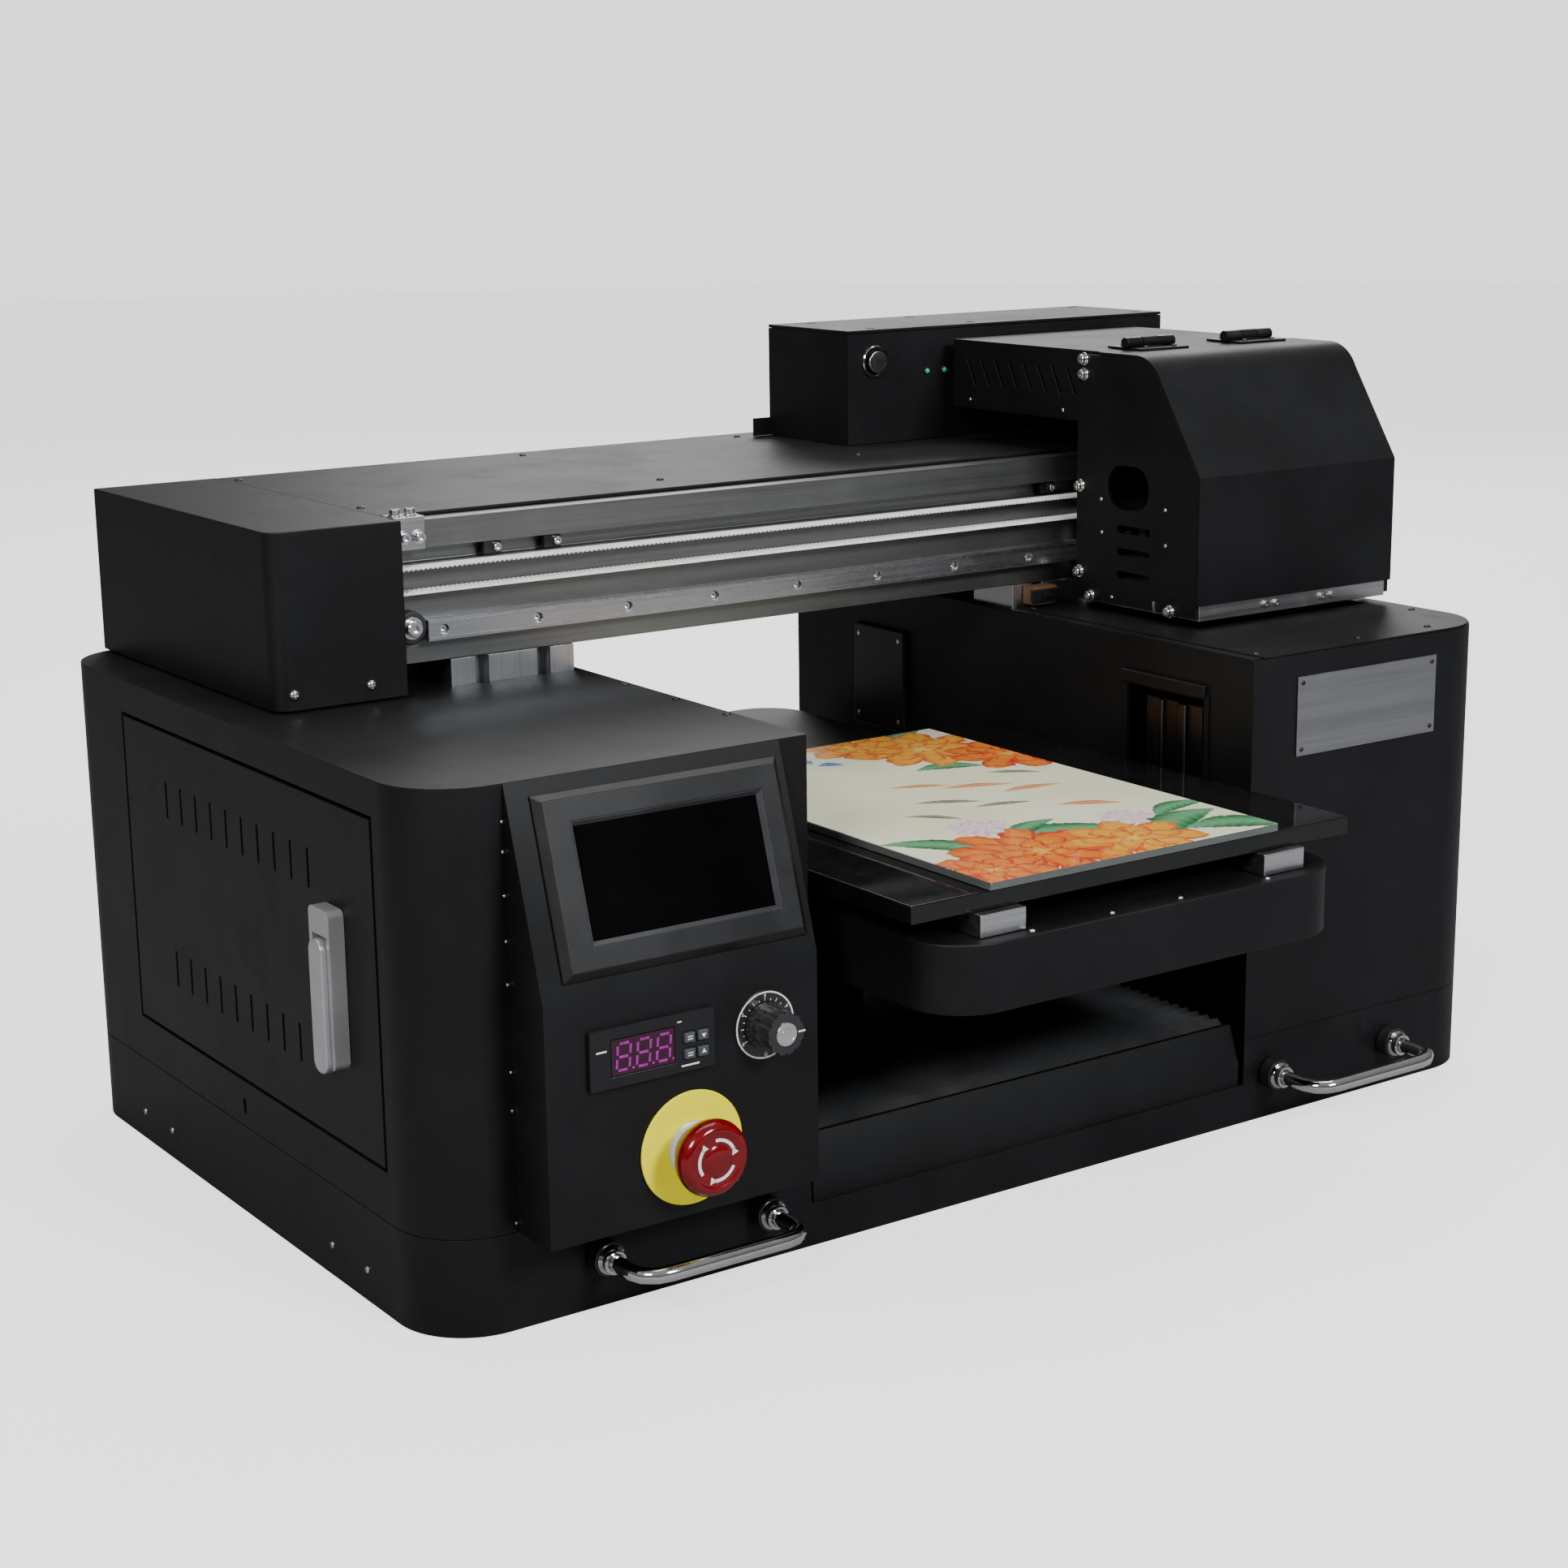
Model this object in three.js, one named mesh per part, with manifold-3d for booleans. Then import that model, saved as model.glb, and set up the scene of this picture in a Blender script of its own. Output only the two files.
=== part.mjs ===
// Flatbed UV printer: plinth, two cabinets, cross beam, print carriage and moving bed.
// Millimetres, +X right, +Y back, +Z up. Origin: centre of the plinth's underside.
import * as THREE from "three";
import { mergeVertices } from "three/addons/utils/BufferGeometryUtils.js";
import Module from "manifold-3d";

const wasm = await Module();
wasm.setup();

// ---- driving dimensions -------------------------------------------------------------
const width = 750;
const depth = 460;
const cornerRadius = 41;
const sheet = 2.5;            // wall of the folded cabinets
const thinSheet = 2;          // wall of the carriage and beam covers
const gap = 0.3;              // between pieces that touch
const runningGap = 0.6;       // between pieces that move past each other

const plinthHeight = 52;
const channelFloor = 24;      // top of the lowered deck between the cabinets
const leftCabinetWidth = 226;
const rightCabinetWidth = 207;
const cabinetTop = 282;

const channelWidth = width - leftCabinetWidth - rightCabinetWidth;
const channelLeft = leftCabinetWidth;
const channelRight = leftCabinetWidth + channelWidth;

// Places along X are from the left face, along Y from the front face and along Z from the ground.
const door = { front: 50, back: depth - 96, bottom: 81, top: cabinetTop - 21, sideGap: 2.5, endGap: 2 };
const slot = { width: 2.5, height: 21, firstY: 123, pitch: 20.4, lowZ: 112,
  highZ: cabinetTop - 71 };
const hingePin = { inset: 5, fromBack: 5, radius: 2, knuckle: 3.7, play: 0.4, lug: 6, tube: 14 };
const latch = { front: 83, width: 23, bottom: 124, height: 84, base: 8.5, lever: 3.6, spindle: 4.5 };
const leverSlot = { width: 15, top: 14, below: 3, depth: 5, headroom: 1.6 };

const consoleBox = { left: 47, width: leftCabinetWidth - 65, depth: 32.4, kink: 177 };
const bezel = { left: 12.5, width: consoleBox.width - 17, up: 9, height: 92.6, thickness: 5, chamfer: 4 };
const screen = { left: 30.5, width: consoleBox.width - 49, up: 24.5, height: 61.5 };
const thermostat = { left: 23.5, width: 72.5, bottom: 129.5, height: 31, proud: 3, body: 20, rim: 3 };
const key = { width: 6, height: 5, proud: 1.6, travel: 0.8, firstX: 57, firstZ: 9.5, pitchX: 8,
  pitchZ: 8.5 };
const knob = { x: consoleBox.width - 33, z: 143.7, radius: 11, length: 18, flutes: 12, skirt: 12.5, plate: 1, shaft: 3 };
const estop = {
  x: consoleBox.width / 2 + 1.8, z: 88.4, ring: 30, ringDepth: 1.6, collar: 14.5, collarDepth: 6.4, thread: 10.8,
  head: 20, headDepth: 14, proud: 26, stem: 8, neck: 3,
};

const post = { width: 80, depth: 40, inset: 5 };
const beam = { bottom: cabinetTop + 16, height: 80, front: 226, left: 48, right: width - 14 };
const beamTop = beam.bottom + beam.height;
const beamBack = beam.front + post.depth;
const groove = { mouth: 8.2, lip: 2, inner: 16, flare: 2.5, depth: 9 };
const rail = {
  left: 123, right: beam.right - 3, z: beam.bottom + 19, width: 12, height: 9, hole: 3, pitch: 60,
    firstHole: 10,
};
const bumper = { x: 112, z: rail.z + 3, radius: 9.5, length: 11 };
const belt = {
  low: beam.bottom + 41, high: beam.bottom + 55, width: 8, thickness: 1.4, standoff: 2.5,
  driveX: 72, idlerX: beam.right - 14,
};
const motor = { size: 42, length: 40, shaft: 2.5, seat: 12 };
const headBox = {
  left: 28, right: 107, front: 212.5, bottom: cabinetTop + 1, top: beamTop + 2.5, edge: 10,
};
const beamCover = { thickness: 2, front: 14 };
const coverTop = beamTop + gap + beamCover.thickness;
const rearBox = {
  left: width - 245, right: width + 30, front: depth - 115, back: depth - 23, top: coverTop + 75.2,
  tab: 14, tabHeight: 12,
};
const powerButton = { x: rearBox.left + 22, z: rearBox.top - 21, radius: 8, proud: 3, travel: 1.2 };

const carriage = {
  left: width - 168, right: width, bottom: cabinetTop + 6, front: 90, back: 203.5, top: beamTop + 69,
};
const sidePlate = 3;
const backPlate = 8;
const coverSheet = 1.8;
const hoodProfile = { kinkZ: carriage.top - 70.5, flatEnd: 150, arc: 26, frontBottom: carriage.bottom + 10 };
const ovalHole = {
  front: 136, back: 174, bottom: carriage.bottom + 62, top: carriage.bottom + 90, corner: 13,
};
const cheekSlots = { front: 134, back: 165, drops: [21, 35.5, 50], half: 2.5 };
const arm = {
  back: rearBox.front - 10, bottom: carriage.top - 45, vents: 8, ventPitch: 14.5,
  ventLength: 17, ventWidth: 2.4, ventLean: 9,
};
const hinge = {
  y: 185, offsets: [42, 127], length: 40, leaf: 1.5, reach: 16, barrel: 3.6, pin: 1.5, lift: 0.6,
};
const tray = { height: 10 };
const printHead = {
  left: carriage.left + 58, right: carriage.left + 118, front: 112, back: 184,
  bottom: carriage.bottom - 1.4, top: carriage.bottom + 64,
};
const lamp = {
  left: carriage.left + 10, right: carriage.left + 46, front: 108, back: 186,
  bottom: carriage.bottom - 0.8, top: carriage.bottom + 57,
};
const slider = { inset: 18, half: 13.5, play: 0.3, clamp: 30 };

const bedCentre = (channelLeft + channelRight) / 2;
const bedBox = {
  width: channelWidth - 33, front: -97, back: depth + 3, bottom: 147, top: 184.5, corner: 34,
};
const bedBar = { width: 30, height: 12.2, spread: bedBox.width - 86, front: -88, back: 225 };
const bedPlate = { width: channelWidth - 10, front: -82, back: 233, height: 10 };
const glass = { width: 202, front: -84, back: 228, left: bedCentre - 104.5, height: 4 };
const lift = { plateWidth: bedBar.spread - bedBar.width - 8, plateDepth: 76, plate: 6, column: 34, foot: 70 };
const carrier = { y: 128, depth: 60, slab: 9, width: channelWidth - 49, pedestal: 56, runner: 28 };
const bedRail = { spread: channelWidth - 89, width: 15, height: 12, front: 16, back: depth - 16 };
const screw = { radius: 6, z: channelFloor + 15 };
const bedMotor = { width: 28, height: 27, length: 41.5, back: depth - 18 };
const bellows = { bottom: 53, top: 62, skin: 1.6, pleat: 20, sideGap: 2.5, back: depth - 14 };
const sill = { front: 2, back: 13, frontHeight: 38, top: 60 };

const handle = {
  centres: [144.5, width - 136], span: 100, z: 28.5, rod: 4.5, reach: 42, bend: 15, foot: 8, footLength: 10,
};
const cap = {
  left: printHead.left - 8, right: printHead.right + 8,
  front: printHead.front - 8, back: printHead.back + 8,
  bottom: cabinetTop - 46, top: cabinetTop - 0.5,
};
const parkHole = { left: lamp.left - 4, right: printHead.right + 34, front: 96, back: 196 };
const windowHole = { front: 40, back: 108, bottom: 160, top: cabinetTop - 29 };

// ---- derived places -----------------------------------------------------------------
const leftFace = -width / 2;
const frontFace = -depth / 2;
const fromLeft = (x) => leftFace + x;
const fromFront = (y) => frontFace + y;
const barBottom = bedBox.top + gap;
const plateBottom = barBottom + bedBar.height + gap;
const glassBottom = plateBottom + bedPlate.height + gap;

// ---- solids -------------------------------------------------------------------------
function solidOf(geometry) {
  const bare = geometry.index ? geometry.toNonIndexed() : geometry.clone();
  bare.deleteAttribute("normal");
  bare.deleteAttribute("uv");
  const merged = mergeVertices(bare, 1e-4);
  return new wasm.Manifold(new wasm.Mesh({
    numProp: 3,
    vertProperties: new Float32Array(merged.attributes.position.array),
    triVerts: new Uint32Array(merged.index.array),
  }));
}

function geometryOf(solid) {
  const mesh = solid.getMesh();
  const geometry = new THREE.BufferGeometry();
  geometry.setAttribute("position", new THREE.BufferAttribute(new Float32Array(mesh.vertProperties), 3));
  geometry.setIndex(new THREE.BufferAttribute(new Uint32Array(mesh.triVerts), 1));
  geometry.computeVertexNormals();
  return geometry;
}

// Boxes are given by their low and high sides, measured from the left and front faces.
function box(x0, x1, y0, y1, z0, z1) {
  const geometry = new THREE.BoxGeometry(x1 - x0, y1 - y0, z1 - z0);
  geometry.translate(fromLeft((x0 + x1) / 2), fromFront((y0 + y1) / 2), (z0 + z1) / 2);
  return solidOf(geometry);
}

// A plan outline with a radius at each corner: front left, front right, back right, back left.
function prism(x0, x1, y0, y1, z0, z1, radii) {
  const [frontLeft, frontRight, backRight, backLeft] = radii;
  const outline = new THREE.Shape();
  outline.moveTo(x0 + frontLeft, y0);
  outline.lineTo(x1 - frontRight, y0);
  if (frontRight) outline.absarc(x1 - frontRight, y0 + frontRight, frontRight, -Math.PI / 2, 0);
  outline.lineTo(x1, y1 - backRight);
  if (backRight) outline.absarc(x1 - backRight, y1 - backRight, backRight, 0, Math.PI / 2);
  outline.lineTo(x0 + backLeft, y1);
  if (backLeft) outline.absarc(x0 + backLeft, y1 - backLeft, backLeft, Math.PI / 2, Math.PI);
  outline.lineTo(x0, y0 + frontLeft);
  if (frontLeft) outline.absarc(x0 + frontLeft, y0 + frontLeft, frontLeft, Math.PI, Math.PI * 1.5);
  const geometry = new THREE.ExtrudeGeometry(outline, { depth: z1 - z0, bevelEnabled: false,
    curveSegments: 8 });
  geometry.translate(leftFace, frontFace, z0);
  return solidOf(geometry);
}

// A side outline of [y, z] points, or a Shape in (y, z), drawn out along X.
function sideProfile(outline, x0, x1) {
  const shape = outline instanceof THREE.Shape ? outline : shapeOf(outline);
  const geometry = new THREE.ExtrudeGeometry(shape, { depth: x1 - x0, bevelEnabled: false,
    curveSegments: 5 });
  geometry.applyMatrix4(new THREE.Matrix4().set(
    0, 0, 1, fromLeft(x0),
    1, 0, 0, frontFace,
    0, 1, 0, 0,
    0, 0, 0, 1,
  ));
  return solidOf(geometry);
}

// A front outline of [x, z] points, drawn out along Y.
function frontProfile(outline, y0, y1) {
  const shape = outline instanceof THREE.Shape ? outline : shapeOf(outline);
  const geometry = new THREE.ExtrudeGeometry(shape, { depth: y1 - y0, bevelEnabled: false,
    curveSegments: 8 });
  geometry.applyMatrix4(new THREE.Matrix4().set(
    1, 0, 0, leftFace,
    0, 0, -1, fromFront(y1),
    0, 1, 0, 0,
    0, 0, 0, 1,
  ));
  return solidOf(geometry);
}

function shapeOf(points) {
  return new THREE.Shape(points.map(([a, b]) => new THREE.Vector2(a, b)));
}

// A round bar along one axis, from one place on it to another.
function bar(axis, radius, centre, start, end, segments = 24) {
  const geometry = new THREE.CylinderGeometry(radius, radius, end - start, segments);
  const middle = (start + end) / 2;
  if (axis === "x") geometry.rotateZ(Math.PI / 2).translate(fromLeft(middle), fromFront(centre[0]),
    centre[1]);
  if (axis === "y") geometry.translate(fromLeft(centre[0]), fromFront(middle), centre[1]);
  if (axis === "z") geometry.rotateX(Math.PI / 2).translate(fromLeft(centre[0]), fromFront(centre[1]),
    middle);
  return solidOf(geometry);
}

function turned(profile, x, y, z, segments = 32) {
  const points = profile.map(([radius, along]) => new THREE.Vector2(radius, along));
  const geometry = new THREE.LatheGeometry(points, segments);
  geometry.rotateX(Math.PI);
  geometry.translate(fromLeft(x), fromFront(y), z);
  return solidOf(geometry);
}

function joined(...solids) {
  return solids.reduce((total, next) => total.add(next));
}

function cutAll(solid, cutters) {
  return cutters.reduce((left, cutter) => left.subtract(cutter), solid);
}

function row(count, make) {
  return Array.from({ length: count }, (_, index) => make(index));
}

const group = new THREE.Group();

function add(name, solid, color, roughness, metalness) {
  const material = new THREE.MeshStandardMaterial({ color, roughness, metalness });
  const mesh = new THREE.Mesh(geometryOf(solid), material);
  mesh.name = name;
  group.add(mesh);
}

const paint = [0x17181a, 0.55, 0.1];
const aluminium = [0x9a9da0, 0.35, 0.9];
const steel = [0xb4b6b8, 0.25, 0.95];
const chrome = [0xd0d2d4, 0.1, 1];
const plastic = [0x1c1c1e, 0.5, 0];
const rubber = [0x141414, 0.8, 0];
const glossBlack = [0x0b0b0d, 0.08, 0];

// ---- plinth and channel -------------------------------------------------------------
function plinth() {
  const r = cornerRadius;
  const inner = r - sheet;
  const outside = prism(0, width, 0, depth, 0, plinthHeight, [r, r, r, r]);
  const inside = prism(sheet, width - sheet, sheet, depth - sheet, sheet, plinthHeight + 1,
    [inner, inner, inner, inner]);
  const shell = outside.subtract(inside);
  const webs = joined(
    box(channelLeft - sheet, channelLeft, 1, depth - 1, 1, plinthHeight),
    box(channelRight, channelRight + sheet, 1, depth - 1, 1, plinthHeight),
  );
  const deck = box(channelLeft - 1, channelRight + 1, 1, depth - 1, channelFloor - sheet, channelFloor);
  const lowered = box(channelLeft, channelRight, -1, depth + 1, channelFloor, plinthHeight + 1);
  const cableHoles = row(3, (i) => box(channelLeft - 9, channelRight + 9, 90 + i * 120, 130 + i * 120, 7,
    17));
  return cutAll(joined(shell, webs, deck), [lowered, ...cableHoles]);
}

function channelSill(front, back) {
  const crest = back - 3;
  return sideProfile([
    [front, channelFloor - 1],
    [front, sill.frontHeight],
    [crest, sill.top],
    [back, sill.top],
    [back, channelFloor - 1],
  ], channelLeft + bellows.sideGap, channelRight - bellows.sideGap);
}

add("plinth", joined(plinth(), channelSill(sill.front, sill.back)), ...paint);

// ---- cabinets -----------------------------------------------------------------------
const cabinetBottom = plinthHeight + gap;
const postY = [beam.front, beam.front + post.depth];
const leftPostX = [channelLeft - post.inset - post.width, channelLeft - post.inset];
const rightPostX = [channelRight + post.inset, channelRight + post.inset + post.width];

function cabinet(x0, x1, radii) {
  const innerRadii = radii.map((r) => Math.max(r - sheet, 0));
  const outside = prism(x0, x1, 0, depth, cabinetBottom, cabinetTop, radii);
  const inside = prism(x0 + sheet, x1 - sheet, sheet, depth - sheet, cabinetBottom - 1, cabinetTop - sheet,
    innerRadii);
  return outside.subtract(inside);
}

function postHole([x0, x1]) {
  return box(x0 - gap, x1 + gap, postY[0] - gap, postY[1] + gap, cabinetTop - sheet - 1, cabinetTop + 1);
}

const pinX = hingePin.inset;
const pinY = door.back - hingePin.fromBack;
const lugLow = door.bottom - door.endGap - hingePin.lug;
const lugHigh = door.top + door.endGap;

function hingeLug(z0) {
  const lug = box(sheet - 1, pinX + 4.5, pinY - 6, pinY + 12, z0, z0 + hingePin.lug);
  return lug.subtract(bar("z", hingePin.radius + hingePin.play, [pinX, pinY], z0 - 1,
    z0 + hingePin.lug + 1, 16));
}

function leftCabinet() {
  const r = cornerRadius;
  const opening = box(-1, sheet + 1, door.front - door.sideGap, door.back + door.sideGap,
    door.bottom - door.endGap, door.top + door.endGap);
  const consoleCable = box(consoleBox.left + 40, consoleBox.left + 120, -1, sheet + 1, 90, 150);
  const shell = cutAll(cabinet(0, leftCabinetWidth, [r, 0, 0, r]), [postHole(leftPostX), opening,
    consoleCable]);
  return joined(shell, hingeLug(lugLow), hingeLug(lugHigh));
}

add("left_cabinet_shell", leftCabinet(), ...paint);

function rightCabinet() {
  const r = cornerRadius;
  const parking = box(parkHole.left, parkHole.right, parkHole.front, parkHole.back,
    cabinetTop - sheet - 1, cabinetTop + 1);
  const sideWindow = box(channelRight - 1, channelRight + sheet + 1, windowHole.front, windowHole.back,
    windowHole.bottom, windowHole.top);
  return cutAll(cabinet(channelRight, width, [0, r, r, 0]), [postHole(rightPostX), parking, sideWindow]);
}

add("right_cabinet_shell", rightCabinet(), ...paint);

// ---- side door ----------------------------------------------------------------------
const latchBack = latch.front + latch.width;
const latchTop = latch.bottom + latch.height;
const latchMiddle = (latch.front + latchBack) / 2;
const latchSpindleZ = latch.bottom + 25;

function ventSlots(z) {
  const count = Math.floor((door.back - slot.firstY) / slot.pitch) - 1;
  return row(count, (i) => {
    const y = slot.firstY + i * slot.pitch;
    return box(-1, sheet + 1, y - slot.width / 2, y + slot.width / 2, z, z + slot.height);
  });
}

function sideDoor() {
  const panel = box(0, sheet, door.front, door.back, door.bottom, door.top);
  const spindleHole = bar("x", latch.spindle + runningGap, [latchMiddle, latchSpindleZ], -1, sheet + 1, 16);
  const cut = cutAll(panel, [...ventSlots(slot.lowZ), ...ventSlots(slot.highZ), spindleHole]);
  const knuckles = [door.bottom, door.top - hingePin.tube].map((z) => joined(
    bar("z", hingePin.knuckle, [pinX, pinY], z, z + hingePin.tube, 16),
    box(sheet - 1, pinX, pinY - hingePin.knuckle, pinY, z, z + hingePin.tube),
  ));
  const pins = [
    bar("z", hingePin.radius, [pinX, pinY], lugLow, door.bottom + 1, 16),
    bar("z", hingePin.radius, [pinX, pinY], door.top - 1, lugHigh + hingePin.lug, 16),
  ];
  return joined(cut, ...knuckles, ...pins);
}

add("side_door", sideDoor(), ...paint);

function latchBase() {
  const outline = roundedShape(latch.front, latchBack, latch.bottom, latchTop, 4);
  const body = sideProfile(outline, -latch.base - gap, -gap);
  const reach = leverSlot.width / 2 + runningGap;
  const recess = box(-latch.base - 1, -latch.base + leverSlot.depth, latchMiddle - reach,
    latchMiddle + reach,
    latch.bottom - 1, latchTop - leverSlot.top);
  const spindle = bar("x", latch.spindle, [latchMiddle, latchSpindleZ], -gap - 1, 14, 16);
  const cam = box(11, 14, latchMiddle - 5, latchMiddle + 5, latchSpindleZ - 5, latchSpindleZ + 25);
  return joined(body.subtract(recess), spindle, cam);
}

function roundedShape(a0, a1, b0, b1, r) {
  const shape = new THREE.Shape();
  shape.moveTo(a0 + r, b0);
  shape.lineTo(a1 - r, b0);
  shape.absarc(a1 - r, b0 + r, r, -Math.PI / 2, 0);
  shape.lineTo(a1, b1 - r);
  shape.absarc(a1 - r, b1 - r, r, 0, Math.PI / 2);
  shape.lineTo(a0 + r, b1);
  shape.absarc(a0 + r, b1 - r, r, Math.PI / 2, Math.PI);
  shape.lineTo(a0, b0 + r);
  shape.absarc(a0 + r, b0 + r, r, Math.PI, Math.PI * 1.5);
  return shape;
}

function latchLever() {
  const half = leverSlot.width / 2;
  const outline = roundedShape(latchMiddle - half, latchMiddle + half, latch.bottom - leverSlot.below,
    latchTop - leverSlot.top - leverSlot.headroom, half - 0.5);
  return sideProfile(outline, -latch.base - latch.lever, -latch.base + 3 - runningGap);
}

add("latch_base", latchBase(), 0x8d9094, 0.4, 0.8);
add("latch_lever", latchLever(), 0xa8abae, 0.35, 0.85);

// ---- console ------------------------------------------------------------------------
const consoleLeft = consoleBox.left;
const consoleRight = consoleBox.left + consoleBox.width;
const consoleFront = -consoleBox.depth;
const thermostatLeft = consoleLeft + thermostat.left;
const slopeAngle = Math.atan2(consoleBox.depth, cabinetTop - consoleBox.kink);

// Pieces on the sloping panel are drawn upright above the fold, then leaned back onto it.
function leaned(makeGeometry) {
  const geometry = makeGeometry();
  geometry.rotateX(-slopeAngle);
  geometry.translate(fromLeft(consoleLeft), fromFront(consoleFront), consoleBox.kink);
  return solidOf(geometry);
}

// Across, outward and up the sloping panel; outward is towards the front.
function slopeBlock(x0, x1, out0, out1, up0, up1) {
  return leaned(() => new THREE.BoxGeometry(x1 - x0, out1 - out0, up1 - up0)
    .translate((x0 + x1) / 2, -(out0 + out1) / 2, (up0 + up1) / 2));
}

function consoleHousing() {
  const back = -gap;
  const outer = sideProfile([
    [back, plinthHeight + gap], [consoleFront, plinthHeight + gap],
    [consoleFront, consoleBox.kink], [back, cabinetTop - gap],
  ], consoleLeft, consoleRight);
  const innerFront = consoleFront + sheet;
  const inner = sideProfile([
    [1, plinthHeight + gap + sheet], [innerFront, plinthHeight + gap + sheet],
    [innerFront, consoleBox.kink - sheet / 2], [back - 1, cabinetTop - 12], [1, cabinetTop - 12],
  ], consoleLeft + sheet, consoleRight - sheet);
  const cuts = [
    slopeBlock(screen.left + 4, screen.left + screen.width - 4, -8, 8, screen.up + 4,
      screen.up + screen.height - 4),
    box(thermostatLeft + thermostat.rim, thermostatLeft + thermostat.width - thermostat.rim,
      consoleFront - 1, consoleFront + sheet + 1, thermostat.bottom + 2,
        thermostat.bottom + thermostat.height - 2),
    bar("y", knob.shaft + 1, [consoleLeft + knob.x, knob.z], consoleFront - 1, consoleFront + sheet + 1),
    bar("y", estop.thread + gap, [consoleLeft + estop.x, estop.z], consoleFront - 1,
      consoleFront + sheet + 1),
  ];
  return cutAll(outer.subtract(inner), cuts);
}

add("console_housing", consoleHousing(), ...paint);

function framePiece() {
  const { left, width: w, up, height: h, thickness: t, chamfer: c } = bezel;
  const shape = shapeOf([[left, up], [left + w, up], [left + w, up + h], [left, up + h]]);
  return leaned(() => new THREE.ExtrudeGeometry(shape, {
    depth: t - c, bevelEnabled: true, bevelThickness: c, bevelSize: c, bevelOffset: -c, bevelSegments: 1,
  }).rotateX(Math.PI / 2).translate(0, -gap, 0));
}

function screenBezel() {
  const opening = slopeBlock(screen.left, screen.left + screen.width, -12, 12, screen.up,
    screen.up + screen.height);
  const behind = slopeBlock(-5, consoleBox.width + 5, -20, gap, -5, bezel.up + bezel.height + 20);
  return cutAll(framePiece(), [opening, behind]);
}

add("screen_bezel", screenBezel(), ...plastic);
add("touch_screen", slopeBlock(screen.left + gap, screen.left + screen.width - gap, gap, 1.8,
  screen.up + gap, screen.up + screen.height - gap), ...glossBlack);

const keyPlaces = row(4, (i) => ({
  x: thermostatLeft + key.firstX + (i % 2) * key.pitchX,
  z: thermostat.bottom + key.firstZ + Math.floor(i / 2) * key.pitchZ,
}));

function keyBlock({ x, z }, front, back, play) {
  const halfWidth = key.width / 2 + play;
  const halfHeight = key.height / 2 + play;
  return box(x - halfWidth, x + halfWidth, front, back, z - halfHeight, z + halfHeight);
}

function thermostatBody() {
  const x0 = thermostatLeft;
  const x1 = x0 + thermostat.width;
  const z0 = thermostat.bottom;
  const z1 = z0 + thermostat.height;
  const face = box(x0, x1, consoleFront - thermostat.proud, consoleFront - gap, z0, z1);
  const body = box(x0 + thermostat.rim + gap, x1 - thermostat.rim - gap, consoleFront - 1,
    consoleFront + thermostat.body,
    z0 + 2 + gap, z1 - 2 - gap);
  const display = box(x0 + 12, x0 + 49, consoleFront - thermostat.proud - 1,
    consoleFront - thermostat.proud + 1,
    z0 + 6, z1 - 6);
  const wells = keyPlaces.map((place) => keyBlock(place, consoleFront - thermostat.proud - 1,
    consoleFront + 1, gap));
  return cutAll(joined(face, body), [display, ...wells]);
}

add("thermostat_body", thermostatBody(), ...plastic);
keyPlaces.forEach((place, i) => {
  const front = consoleFront - thermostat.proud - key.proud;
  add(`thermostat_key_${i + 1}`, keyBlock(place, front, consoleFront + 1 - key.travel - gap, 0), 0x2a2b30,
    0.5, 0);
});

function speedKnob() {
  const outline = new THREE.Shape();
  const steps = knob.flutes * 4;
  for (let i = 0; i < steps; i += 1) {
    const angle = (i / steps) * Math.PI * 2;
    const radius = knob.radius - (i % 4 === 0 ? 0.9 : 0);
    const x = consoleLeft + knob.x + radius * Math.cos(angle);
    const z = knob.z + radius * Math.sin(angle);
    if (i === 0) outline.moveTo(x, z);
    else outline.lineTo(x, z);
  }
  const back = consoleFront - knob.plate - runningGap;
  const grip = frontProfile(outline, back - knob.length, back - 2);
  const skirt = bar("y", knob.skirt, [consoleLeft + knob.x, knob.z], back - 4, back);
  const shaft = bar("y", knob.shaft, [consoleLeft + knob.x, knob.z], back - 1, consoleFront + 12);
  return joined(grip, skirt, shaft);
}

add("speed_knob", speedKnob(), ...plastic);

const estopX = consoleLeft + estop.x;

function estopCollar() {
  const front = consoleFront - gap - estop.ringDepth;
  const outer = joined(
    bar("y", estop.ring, [estopX, estop.z], front, consoleFront - gap, 48),
    bar("y", estop.collar, [estopX, estop.z], consoleFront - gap - estop.collarDepth,
      consoleFront - gap - 0.5),
    bar("y", estop.thread, [estopX, estop.z], consoleFront - 1, consoleFront + 24),
  );
  return outer.subtract(bar("y", estop.stem + runningGap, [estopX, estop.z], consoleFront - 40,
    consoleFront + 40));
}

function estopStem() {
  const neck = consoleFront - estop.proud + estop.headDepth;
  return joined(
    bar("y", estop.stem, [estopX, estop.z], neck + gap, consoleFront + 15),
    bar("y", estop.neck, [estopX, estop.z], neck - 5, neck + 1, 16),
  );
}

function estopButton() {
  const face = consoleFront - estop.proud;
  const r = estop.head;
  const d = estop.headDepth;
  const socket = estop.neck + gap + 0.1;
  return turned([
    [socket, 0], [r * 0.72, 0], [r * 0.96, d * 0.25], [r, d * 0.5],
    [r * 0.93, d * 0.8], [r * 0.7, d * 0.96], [r * 0.35, d], [0, d],
    [0, d * 0.62], [socket, d * 0.62], [socket, 0],
  ], estopX, face + d, estop.z);
}

add("estop_collar", estopCollar(), 0xe6cf1d, 0.45, 0);
add("estop_stem", estopStem(), 0x9c1616, 0.4, 0);
add("estop_button", estopButton(), 0xb01218, 0.2, 0);

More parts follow.
